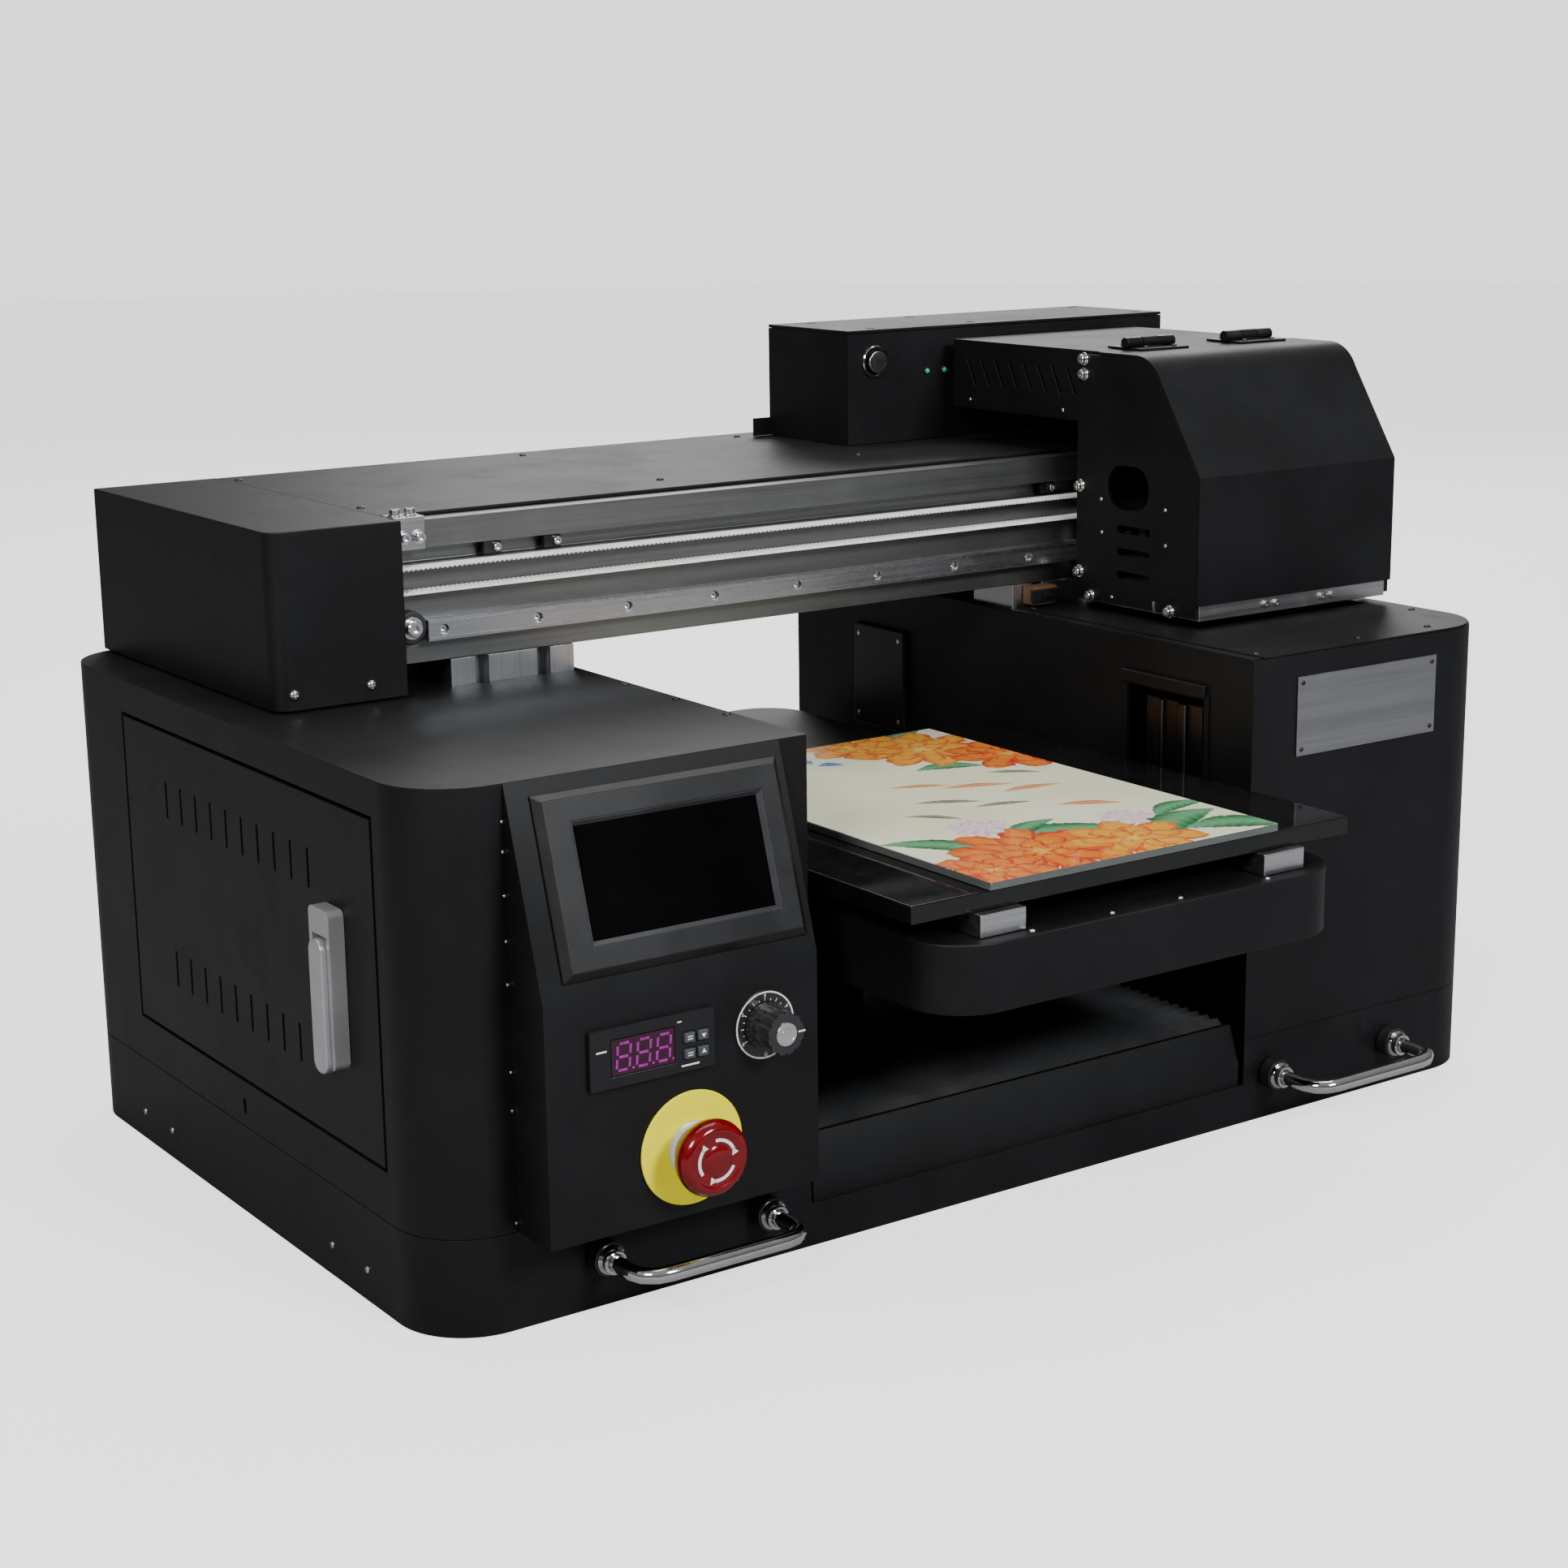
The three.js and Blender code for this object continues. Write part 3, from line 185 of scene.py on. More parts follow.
def join(name, pieces):
    focus(pieces[0])
    for piece in pieces[1:]:
        piece.select_set(True)
    if len(pieces) > 1:
        bpy.ops.object.join()
    joined = bpy.context.view_layer.objects.active
    joined.name = joined.data.name = name
    return joined


def cuboid(name, centre, size):
    deselect()
    bpy.ops.mesh.primitive_cube_add(size=1, location=centre)
    piece = bpy.context.object
    piece.name = piece.data.name = name
    piece.scale = size
    return settle(piece)


def block(name, low, high, edge=0.4, steps=2):
    """A rounded block between two corners in millimetres."""
    a, b = spot(*low), spot(*high)
    return round_edges(cuboid(name, (a + b) / 2, b - a), edge, steps)


def aim(piece, base, facing):
    """Stands a piece that was made along +Z on a base point, facing along a direction."""
    turn = Vector(facing).to_track_quat("Z", "Y").to_matrix().to_4x4()
    piece.matrix_world = Matrix.Translation(base) @ turn
    return settle(piece)


def turned(name, base, facing, profile, sides=48):
    """A round piece grown from a disc: the profile lists each (radius, height) in millimetres."""
    (r0, h0), (r1, h1) = profile[:2]
    deselect()
    bpy.ops.mesh.primitive_cylinder_add(
        vertices=sides, radius=r0 * MM, depth=(h1 - h0) * MM, location=(0, 0, (h0 + h1) / 2 * MM)
    )
    piece = bpy.context.object
    piece.name = piece.data.name = name
    settle(piece)
    begin_edit(piece)
    choose(piece, lambda f: f.normal.z > 0.9 and f.calc_center_median().z > (h0 + h1) / 2 * MM)
    bpy.ops.transform.resize(value=(r1 / r0, r1 / r0, 1), center_override=(0, 0, h1 * MM))
    for (before, low), (after, high) in zip(profile[1:], profile[2:]):
        bpy.ops.mesh.extrude_region_move(TRANSFORM_OT_translate={"value": (0, 0, (high - low) * MM)})
        share = after / before
        bpy.ops.transform.resize(value=(share, share, 1), center_override=(0, 0, high * MM))
    end_edit()
    return aim(piece, base, facing)


def ring(name, base, facing, outer, inner, height, sides=48, edge=0.3):
    """A flat ring, with its rims rounded."""
    profile = [
        (outer - edge, 0), (outer, edge), (outer, height - edge), (outer - edge, height),
        (inner + edge, height), (inner, height - edge), (inner, height / 4),
    ]
    piece = turned(name, Vector(), UP, profile, sides)
    core = turned(name + "_bore", Vector((0, 0, -MM)), UP, [(inner, 0), (inner, height + 2)], sides)
    return aim(cut(piece, core), base, facing)


def set_out(name, pattern, places):
    """Copies of one pattern piece at several (place, facing) pairs, joined as one piece."""
    made = []
    for where, facing in places:
        copy = pattern.copy()
        copy.data = pattern.data.copy()
        bpy.context.collection.objects.link(copy)
        made.append(aim(copy, spot(*where), facing))
    bpy.data.objects.remove(pattern)
    return join(name, made)


def tidy_copy(node, edge=0.5, steps=2, angle=30, flatten=True):
    """A copy of a solid with its doubles merged, its flats made whole and its sharp edges rounded."""
    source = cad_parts[node]
    piece = bpy.data.objects.new(node + "_finish", source.data.copy())
    bpy.context.collection.objects.link(piece)
    begin_edit(piece, "VERT")
    bpy.ops.mesh.select_all(action="SELECT")
    bpy.ops.mesh.remove_doubles(threshold=1e-6)
    if flatten:
        bpy.ops.mesh.dissolve_limited(angle_limit=math.radians(0.5))
    end_edit()
    return round_edges(piece, edge, steps, angle)


def finish(piece, body, material, slot=None, replaces=(), angle=35, weighted=True):
    """Smooths a piece, gives it its material and says what it rides on and stands for."""
    focus(piece)
    bpy.ops.object.shade_smooth_by_angle(angle=math.radians(angle))
    if weighted:
        normals = piece.modifiers.new("Flat faces stay flat", "WEIGHTED_NORMAL")
        normals.keep_sharp = True
        apply_modifier(piece, normals)
    if material is not None:
        piece.data.materials.clear()
        piece.data.materials.append(MATERIALS[material])
    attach(piece, body)
    if replaces:
        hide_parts(*replaces)
    return piece


def dress(node, body, material, slot, edge=0.5, steps=2, angle=30, flatten=True):
    """A solid's tidied copy, finished, in place of the solid."""
    piece = tidy_copy(node, edge, steps, angle, flatten)
    return finish(piece, body, material, slot, (node,))


# ---- screws ---------------------------------------------------------------------------
def socket_cap(radius=2.7, height=3.2, washer=0.0):
    """A socket head cap screw, with a washer under it where one is asked for."""
    rim = radius * 0.12
    foot = 0.8 if washer else 0
    profile = [
        (radius - rim, foot), (radius, foot + rim), (radius, foot + height - rim),
        (radius - rim, foot + height),
    ]
    head = turned("cap_screw", Vector(), UP, profile, 24)
    socket = [(radius * 0.52, foot + height * 0.45), (radius * 0.52, foot + height + 1)]
    key = turned("key", Vector(), UP, socket, 6)
    cut(head, key)
    if not washer:
        return head
    disc = ring("washer", Vector(), UP, washer, radius * 0.6, foot, 24, 0.15)
    return join("cap_screw", [head, disc])


def dome_screw(radius=2.6, height=1.6):
    """A domed machine screw with a cross recess."""
    profile = [
        (radius, 0), (radius, height * 0.2), (radius * 0.9, height * 0.55), (radius * 0.68, height * 0.85),
        (radius * 0.35, height),
    ]
    head = turned("dome_screw", Vector(), UP, profile, 20)
    arm, thick = radius * 0.55 * MM, radius * 0.13 * MM
    for size in ((arm, thick), (thick, arm)):
        deselect()
        bpy.ops.mesh.primitive_cube_add(size=2, location=(0, 0, height * MM))
        slot = bpy.context.object
        slot.scale = (*size, height * 0.35 * MM)
        cut(head, settle(slot))
    return head


def fasten(name, pattern, places, body="frame", look=STEEL_SCREW):
    """Copies of one screw at all its places, finished as one piece."""
    return finish(set_out(name, pattern, places), body, *look)


# ---- effects that materials share ------------------------------------------------------
def new_effect(name, inputs, outputs):
    """An empty node group with its inner ends: inputs maps labels to defaults, outputs are numbers."""
    tree = bpy.data.node_groups.new(name, "ShaderNodeTree")
    for label, default in inputs.items():
        kind = "NodeSocketVector" if isinstance(default, tuple) else "NodeSocketFloat"
        socket = tree.interface.new_socket(label, in_out="INPUT", socket_type=kind)
        socket.default_value = default
    for label in outputs:
        tree.interface.new_socket(label, in_out="OUTPUT", socket_type="NodeSocketFloat")
    return tree, tree.nodes.new("NodeGroupInput"), tree.nodes.new("NodeGroupOutput")


def wire(tree, source, target):
    if isinstance(source, bpy.types.NodeSocket):
        tree.links.new(source, target)
    else:
        target.default_value = source


def maths(tree, operation, *values):
    node = tree.nodes.new("ShaderNodeMath")
    node.operation = operation
    for value, socket in zip(values, node.inputs):
        wire(tree, value, socket)
    return node.outputs[0]


def add(tree, first, second):
    return maths(tree, "ADD", first, second)


def less(tree, first, second):
    return maths(tree, "SUBTRACT", first, second)


def times(tree, first, second):
    return maths(tree, "MULTIPLY", first, second)


def over(tree, first, second):
    return maths(tree, "DIVIDE", first, second)


def vector_maths(tree, operation, *values):
    node = tree.nodes.new("ShaderNodeVectorMath")
    node.operation = operation
    for value, socket in zip(values, node.inputs):
        wire(tree, value, socket)
    return node.outputs["Value" if operation in ("LENGTH", "DISTANCE") else "Vector"]


def noise(tree, vector, scale, detail=3.0, roughness=0.5):
    node = tree.nodes.new("ShaderNodeTexNoise")
    wire(tree, vector, node.inputs["Vector"])
    wire(tree, scale, node.inputs["Scale"])
    node.inputs["Detail"].default_value = detail
    node.inputs["Roughness"].default_value = roughness
    return node.outputs["Fac"]


def ramp(tree, value, low, high, start=0.0, end=1.0):
    node = tree.nodes.new("ShaderNodeMapRange")
    node.interpolation_type = "SMOOTHSTEP"
    labels = ("Value", "From Min", "From Max", "To Min", "To Max")
    for label, part in zip(labels, (value, low, high, start, end)):
        wire(tree, part, node.inputs[label])
    return node.outputs["Result"]


def apart(tree, vector):
    """The X, Y and Z of a vector."""
    node = tree.nodes.new("ShaderNodeSeparateXYZ")
    wire(tree, vector, node.inputs[0])
    return node.outputs


def blend_colours(tree, share, first, second):
    node = tree.nodes.new("ShaderNodeMix")
    node.data_type = "RGBA"
    wire(tree, share, node.inputs["Factor"])
    wire(tree, first, node.inputs[6])
    wire(tree, second, node.inputs[7])
    return node.outputs[2]


def object_place(tree):
    return tree.nodes.new("ShaderNodeTexCoord").outputs["Object"]


def make_powder_coat():
    """The pebbled skin of powder paint or moulded plastic, and its slow mottle."""
    inputs = {"Grain mm": 0.9, "Mottle mm": 60.0}
    tree, start, end = new_effect("Pebbled skin", inputs, ("Height", "Mottle"))
    place = object_place(tree)
    fine = over(tree, 1000.0, start.outputs["Grain mm"])
    pebbles = tree.nodes.new("ShaderNodeTexVoronoi")
    pebbles.feature = "SMOOTH_F1"
    wire(tree, place, pebbles.inputs["Vector"])
    wire(tree, fine, pebbles.inputs["Scale"])
    cloud = noise(tree, place, fine, 2.0)
    height = add(tree, times(tree, pebbles.outputs["Distance"], 0.6), times(tree, cloud, 0.5))
    wire(tree, height, end.inputs["Height"])
    slow = noise(tree, place, over(tree, 1000.0, start.outputs["Mottle mm"]), 5.0, 0.6)
    wire(tree, ramp(tree, slow, 0.3, 0.7), end.inputs["Mottle"])
    return tree


def make_brushing():
    """Fine lines of a brushed or drawn metal, long along the directions where Stretch is small."""
    inputs = {"Stretch": (0.02, 1.0, 1.0), "Fineness": 900.0}
    tree, start, end = new_effect("Brushed lines", inputs, ("Height", "Streak"))
    place = vector_maths(tree, "MULTIPLY", object_place(tree), start.outputs["Stretch"])
    lines = noise(tree, place, start.outputs["Fineness"], 4.0, 0.65)
    broad = noise(tree, place, times(tree, start.outputs["Fineness"], 0.08), 3.0, 0.6)
    wire(tree, lines, end.inputs["Height"])
    mixed = add(tree, times(tree, lines, 0.5), times(tree, broad, 0.5))
    wire(tree, ramp(tree, mixed, 0.34, 0.66), end.inputs["Streak"])
    return tree


def make_dust():
    """Dust that lies on upward faces, and smudges left by hands on all of them."""
    tree, start, end = new_effect("Dust and smudges", {"Smudge mm": 45.0}, ("Dust", "Smudge"))
    place = object_place(tree)
    normal = tree.nodes.new("ShaderNodeNewGeometry").outputs["Normal"]
    upward = ramp(tree, apart(tree, normal)["Z"], 0.6, 1.0)
    specks = ramp(tree, noise(tree, place, 900.0, 2.0), 0.52, 0.75)
    drift = ramp(tree, noise(tree, place, 14.0, 3.0), 0.35, 0.7, 0.25, 1.0)
    wire(tree, times(tree, times(tree, specks, drift), upward), end.inputs["Dust"])
    wide = over(tree, 1000.0, start.outputs["Smudge mm"])
    wire(tree, ramp(tree, noise(tree, place, wide, 4.0, 0.7), 0.5, 0.72), end.inputs["Smudge"])
    return tree


def make_petals():
    """One ring of petals round a centre: where it covers, and how far out each point is."""
    inputs = {"Centre mm": (0.0, 0.0, 0.0), "Radius mm": 30.0, "Petals": 7.0, "Turn": 0.0}
    tree, start, end = new_effect("Ring of petals", inputs, ("Cover", "Reach"))
    place = vector_maths(tree, "MULTIPLY", object_place(tree), (1000.0, 1000.0, 0.0))
    away = vector_maths(tree, "SUBTRACT", place, start.outputs["Centre mm"])
    wobble = tree.nodes.new("ShaderNodeTexNoise")
    wire(tree, place, wobble.inputs["Vector"])
    wobble.inputs["Scale"].default_value = 0.07
    wobble.inputs["Detail"].default_value = 3.0
    shift = vector_maths(tree, "SUBTRACT", wobble.outputs["Color"], (0.5, 0.5, 0.5))
    away = vector_maths(tree, "ADD", away, vector_maths(tree, "MULTIPLY", shift, (14.0, 14.0, 0.0)))
    parts = apart(tree, away)
    angle = maths(tree, "ARCTAN2", parts["Y"], parts["X"])
    phase = times(tree, add(tree, angle, start.outputs["Turn"]), times(tree, start.outputs["Petals"], 0.5))
    lobe = maths(tree, "POWER", maths(tree, "ABSOLUTE", maths(tree, "COSINE", phase)), 0.55)
    edge = add(tree, times(tree, lobe, 0.4), 0.6)
    distance = over(tree, vector_maths(tree, "LENGTH", away), start.outputs["Radius mm"])
    reach = over(tree, distance, edge)
    wire(tree, ramp(tree, reach, 0.96, 1.0, 1.0, 0.0), end.inputs["Cover"])
    vein = times(tree, maths(tree, "SINE", times(tree, angle, 41.0)), 0.05)
    fold = times(tree, less(tree, 1.0, lobe), 0.5)
    wire(tree, add(tree, add(tree, reach, vein), fold), end.inputs["Reach"])
    return tree


def make_leaf():
    """A leaf or a brush stroke: where it covers, and how near its rib each point is."""
    inputs = {"Centre mm": (0.0, 0.0, 0.0), "Length mm": 30.0, "Width mm": 10.0, "Turn": 0.0}
    tree, start, end = new_effect("Leaf", inputs, ("Cover", "Rib"))
    place = vector_maths(tree, "MULTIPLY", object_place(tree), (1000.0, 1000.0, 0.0))
    away = vector_maths(tree, "SUBTRACT", place, start.outputs["Centre mm"])
    turn = tree.nodes.new("ShaderNodeVectorRotate")
    turn.rotation_type = "Z_AXIS"
    wire(tree, away, turn.inputs["Vector"])
    wire(tree, start.outputs["Turn"], turn.inputs["Angle"])
    parts = apart(tree, turn.outputs[0])
    along = over(tree, parts["X"], start.outputs["Length mm"])
    bow = times(tree, times(tree, along, along), times(tree, start.outputs["Width mm"], 0.9))
    sideways = maths(tree, "ABSOLUTE", add(tree, parts["Y"], bow))
    across = over(tree, sideways, start.outputs["Width mm"])
    limit = less(tree, 1.0, times(tree, along, along))
    ragged = times(tree, noise(tree, place, 0.35, 2.0), 0.35)
    reach = add(tree, less(tree, across, limit), ragged)
    wire(tree, ramp(tree, reach, 0.0, 0.12, 1.0, 0.0), end.inputs["Cover"])
    slanted = add(tree, times(tree, along, 30.0), times(tree, across, 9.0))
    veins = times(tree, maths(tree, "SINE", slanted), 0.12)
    wire(tree, add(tree, ramp(tree, across, 0.0, 0.9, 1.0, 0.0), veins), end.inputs["Rib"])
    return tree


EFFECTS = {}
MATERIALS = {}


def make_effects():
    EFFECTS["skin"] = make_powder_coat()
    EFFECTS["brushed"] = make_brushing()
    EFFECTS["dust"] = make_dust()
    EFFECTS["petals"] = make_petals()
    EFFECTS["leaf"] = make_leaf()


def use_effect(tree, name, **values):
    node = tree.nodes.new("ShaderNodeGroup")
    node.node_tree = EFFECTS[name]
    for label, value in values.items():
        wire(tree, value, node.inputs[label.replace("_", " ")])
    return node.outputs


# ---- materials -------------------------------------------------------------------------
def begin_material(name, metallic=0.0, **sockets):
    """A material with its shader's constant sockets set; returns the tree and the shader."""
    material = bpy.data.materials.new(name)
    material.use_nodes = True
    MATERIALS[name] = material
    shader = material.node_tree.nodes["Principled BSDF"]
    shader.inputs["Metallic"].default_value = metallic
    for label, value in sockets.items():
        shader.inputs[label.replace("_", " ")].default_value = value
    return material.node_tree, shader


def bump(tree, shader, height, distance):
    node = tree.nodes.new("ShaderNodeBump")
    node.inputs["Strength"].default_value = 1.0
    node.inputs["Distance"].default_value = distance * MM
    wire(tree, height, node.inputs["Height"])
    wire(tree, node.outputs["Normal"], shader.inputs["Normal"])


def colour(value):
    return (*value, 1.0)


def surface(tree, shader, base, share, rough, height, depth):
    """A shader's colour, its roughness between two ends by a share, and its bumps."""
    wire(tree, base, shader.inputs["Base Color"])
    wire(tree, ramp(tree, share, 0.0, 1.0, *rough), shader.inputs["Roughness"])
    bump(tree, shader, height, depth)


def skinned(name, dark, light, rough, grain, depth, dusty=0.0, mottle=60.0, **sockets):
    """Paint, plastic or rubber: a pebbled skin, two close shades, and dust or smudges."""
    tree, shader = begin_material(name, **sockets)
    skin = use_effect(tree, "skin", Grain_mm=grain, Mottle_mm=mottle)
    marks = use_effect(tree, "dust")
    base = blend_colours(tree, skin["Mottle"], colour(dark), colour(light))
    if dusty:
        base = blend_colours(tree, times(tree, marks["Dust"], dusty), base, (0.45, 0.43, 0.40, 1.0))
    smudged = add(tree, times(tree, skin["Mottle"], 0.6), times(tree, marks["Smudge"], 0.4))
    surface(tree, shader, base, smudged, rough, skin["Height"], depth)


def metal(name, dark, light, rough, stretch, depth, fineness=900.0, **sockets):
    """Bare metal: lines along its grain, two close shades, and duller streaks."""
    tree, shader = begin_material(name, metallic=1.0, **sockets)
    lines = use_effect(tree, "brushed", Stretch=stretch, Fineness=fineness)
    marks = use_effect(tree, "dust", Smudge_mm=30.0)
    base = blend_colours(tree, lines["Streak"], colour(dark), colour(light))
    dull = add(tree, times(tree, lines["Streak"], 0.6), times(tree, marks["Smudge"], 0.4))
    surface(tree, shader, base, dull, rough, lines["Height"], depth)


ALONG_X = (0.015, 1.0, 1.0)
ALONG_Y = (1.0, 0.015, 1.0)
ALONG_Z = (1.0, 1.0, 0.015)
EVEN = (1.0, 1.0, 1.0)


def make_materials(tones):
    paint = tones.paint
    worn = tuple(c * 1.35 + 0.0012 for c in paint)
    skinned("black powder coat", paint, worn, (tones.paint_roughness + 0.02, tones.paint_roughness + 0.09),
            tones.paint_grain / MM, 0.045, dusty=0.012, Specular_IOR_Level=0.24)
    skinned("black moulded plastic", (0.0045, 0.0045, 0.005), (0.008, 0.008, 0.009), (0.34, 0.48), 0.5, 0.03,
            Specular_IOR_Level=0.35)
    skinned("black button plastic", (0.014, 0.014, 0.015), (0.020, 0.020, 0.022), (0.2, 0.32), 0.4, 0.01)
    skinned("key cap plastic", (0.035, 0.038, 0.045), (0.055, 0.058, 0.066), (0.35, 0.5), 0.3, 0.01)
    skinned("black rubber", (0.012, 0.012, 0.012), (0.022, 0.022, 0.022), (0.6, 0.8), 0.7, 0.05)
    skinned("motor black", (0.015, 0.015, 0.016), (0.03, 0.03, 0.031), (0.35, 0.5), 0.5, 0.03)
    skinned("black oxide screw", (0.02, 0.02, 0.021), (0.05, 0.05, 0.052), (0.25, 0.42), 0.5, 0.01,
            metallic=0.8)
    skinned("latch silver paint", (0.37, 0.38, 0.40), (0.48, 0.49, 0.51), (0.32, 0.44), 0.35, 0.012,
            metallic=0.55)
    skinned("warning yellow plastic", (0.90, 0.80, 0.001), (0.94, 0.86, 0.003), (0.45, 0.6), 0.6, 0.01,
            Specular_IOR_Level=0.2)
    skinned("white print", (0.72, 0.72, 0.72), (0.82, 0.82, 0.82), (0.4, 0.55), 0.6, 0.005)
    skinned("white belt", (0.80, 0.81, 0.80), (0.88, 0.89, 0.88), (0.5, 0.65), 0.5, 0.03, mottle=18.0)
    skinned("brown block", (0.11, 0.055, 0.03), (0.17, 0.085, 0.045), (0.35, 0.5), 1.2, 0.02)
    skinned("dial black", (0.010, 0.010, 0.010), (0.016, 0.016, 0.016), (0.22, 0.32), 0.6, 0.005)
    skinned("screen glass", (0.0010, 0.0010, 0.0012), (0.002, 0.0018, 0.0018), (0.10, 0.16), 30.0, 0.0005,
            Specular_IOR_Level=0.10)
    skinned("bed gloss black", (0.0025, 0.0025, 0.003), (0.005, 0.005, 0.005), (0.05, 0.14), 9.0, 0.002,
            dusty=0.05, Specular_IOR_Level=0.45)
    metal("drawn aluminium", (0.17, 0.172, 0.17), (0.215, 0.217, 0.214), (0.36, 0.44), ALONG_X, 0.0012)
    metal("drawn aluminium upright", (0.40, 0.405, 0.42), (0.50, 0.505, 0.52), (0.30, 0.40), ALONG_Z, 0.0015)
    metal("machined aluminium", (0.46, 0.465, 0.47), (0.58, 0.585, 0.59), (0.26, 0.4), ALONG_X, 0.003, 700.0)
    metal("ground rail steel", (0.44, 0.44, 0.45), (0.52, 0.52, 0.53), (0.26, 0.36), ALONG_X, 0.0003, 1400.0)
    metal("plate steel", (0.30, 0.30, 0.31), (0.38, 0.38, 0.39), (0.32, 0.42), ALONG_X, 0.002, 1200.0)
    metal("bracket steel", (0.055, 0.06, 0.065), (0.09, 0.095, 0.10), (0.30, 0.42), ALONG_Z, 0.002, 1200.0)
    metal("stainless screw", (0.60, 0.60, 0.60), (0.76, 0.76, 0.76), (0.16, 0.3), EVEN, 0.004, 2500.0)
    metal("polished chrome", (0.66, 0.66, 0.67), (0.76, 0.76, 0.77), (0.05, 0.12), EVEN, 0.0005, 120.0)
    metal("knob cap", (0.62, 0.62, 0.62), (0.78, 0.78, 0.78), (0.2, 0.3), ALONG_X, 0.006, 2500.0)
    metal("shaft steel", (0.42, 0.42, 0.43), (0.6, 0.6, 0.61), (0.22, 0.35), ALONG_Y, 0.01)
    make_floor()
    # The same black plastic as the bezel, painted a lighter bluish grey: a painted highlight on the screen
    # rim's sloping walls.
    skinned("bezel chamfer painted highlight", (0.03, 0.032, 0.036), (0.055, 0.058, 0.065), (0.3, 0.42), 0.5, 0.05)
    make_lit_materials()
    make_clear_materials()
    make_cloth()
    make_print()


def make_floor():
    """Pale paper: it is seen evenly bright, but throws little light back up at the printer."""
    tree, shader = begin_material("studio floor", Roughness=0.9, Specular_IOR_Level=0.0)
    skin = use_effect(tree, "skin", Grain_mm=4.0, Mottle_mm=900.0)
    wire(tree, blend_colours(tree, skin["Mottle"], colour((0.50, 0.50, 0.50)), colour((0.53, 0.53, 0.53))),
         shader.inputs["Base Color"])
    shader.inputs["Emission Color"].default_value = (1, 1, 1, 1)
    shader.inputs["Emission Strength"].default_value = 1.5
    dim = tree.nodes.new("ShaderNodeBsdfDiffuse")
    dim.inputs["Color"].default_value = (0.30, 0.30, 0.31, 1)
    path = tree.nodes.new("ShaderNodeLightPath")
    mix = tree.nodes.new("ShaderNodeMixShader")
    wire(tree, path.outputs["Is Camera Ray"], mix.inputs["Fac"])
    wire(tree, dim.outputs["BSDF"], mix.inputs[1])
    wire(tree, shader.outputs["BSDF"], mix.inputs[2])
    wire(tree, mix.outputs["Shader"], tree.nodes["Material Output"].inputs["Surface"])


def make_lit_materials():
    """The thermostat's window and digits, and the two small green lamps."""
    skinned("digit window", (0.022, 0.001, 0.012), (0.03, 0.0015, 0.016), (0.18, 0.25), 0.6, 0.004)
    for name, glow, strength in (
        ("lit digit", (0.30, 0.012, 0.26), 0.32), ("green lamp", (0.02, 0.30, 0.16), 0.35),
    ):
        tree, shader = begin_material(name, Emission_Strength=strength, Roughness=0.3)
        skin = use_effect(tree, "skin", Grain_mm=0.8, Mottle_mm=4.0)
        dim = tuple(c * 0.6 for c in glow)
        tone = blend_colours(tree, skin["Mottle"], colour(dim), colour(glow))
        wire(tree, tone, shader.inputs["Base Color"])
        wire(tree, tone, shader.inputs["Emission Color"])


def make_clear_materials():
    """The emergency stop's red plastic and its collar, and the sheet of glass."""
    for name, dark, light, share, rough, depth in (
        ("red button", (0.16, 0.0008, 0.003), (0.22, 0.0015, 0.005), 0.25, (0.08, 0.16), 0.01),
        ("clear collar", (0.72, 0.72, 0.60), (0.82, 0.82, 0.72), 0.35, (0.12, 0.25), 0.01),
        ("clear glass", (0.80, 0.90, 0.84), (0.86, 0.94, 0.89), 0.9, (0.01, 0.05), 0.0005),
    ):
        tree, shader = begin_material(name, Transmission_Weight=share, IOR=1.5)
        skin = use_effect(tree, "skin", Grain_mm=2.0, Mottle_mm=14.0)
        base = blend_colours(tree, skin["Mottle"], colour(dark), colour(light))
        surface(tree, shader, base, skin["Mottle"], rough, skin["Height"], depth)


def make_cloth():
    """Coated bellows cloth: a fine plain weave under a dull black coat."""
    tree, shader = begin_material("bellows cloth", Sheen_Weight=0.15, Specular_IOR_Level=0.35)
    place = object_place(tree)
    weave = []
    for direction in ("X", "Y"):
        wave = tree.nodes.new("ShaderNodeTexWave")
        wave.bands_direction = direction
        wave.inputs["Scale"].default_value = 420.0
        wave.inputs["Distortion"].default_value = 0.4
        wire(tree, place, wave.inputs["Vector"])
        weave.append(wave.outputs["Fac"])
    skin = use_effect(tree, "skin", Grain_mm=1.4, Mottle_mm=35.0)
    marks = use_effect(tree, "dust")
    base = blend_colours(tree, skin["Mottle"], (0.011, 0.011, 0.012, 1.0), (0.021, 0.022, 0.024, 1.0))
    base = blend_colours(tree, times(tree, marks["Dust"], 0.12), base, (0.4, 0.4, 0.4, 1.0))
    surface(tree, shader, base, skin["Mottle"], (0.5, 0.7), times(tree, *weave), 0.04)


def print_place(across, back):
    """A place on the printed sheet in millimetres of the object frame, from its left and front edges."""
    low, _ = span("glass_sheet")
    where = spot(low[0] + across, low[1] + back, 0) / MM
    return (where.x, where.y, 0.0)


# Each flower: across and back from the sheet's corner, radius, petals, turn and which tints it takes.
FLOWERS = (
    (60, 34, 50, 9, 0.2, "warm"), (118, 22, 42, 8, 1.1, "sunny"), (18, 18, 34, 7, 0.6, "warm"),
    (160, 268, 48, 9, 0.4, "sunny"), (196, 226, 40, 8, 0.9, "warm"), (128, 296, 34, 7, 0.1, "sunny"),
    (66, 92, 19, 8, 0.5, "pale"), (146, 62, 17, 7, 1.4, "pale"),
)
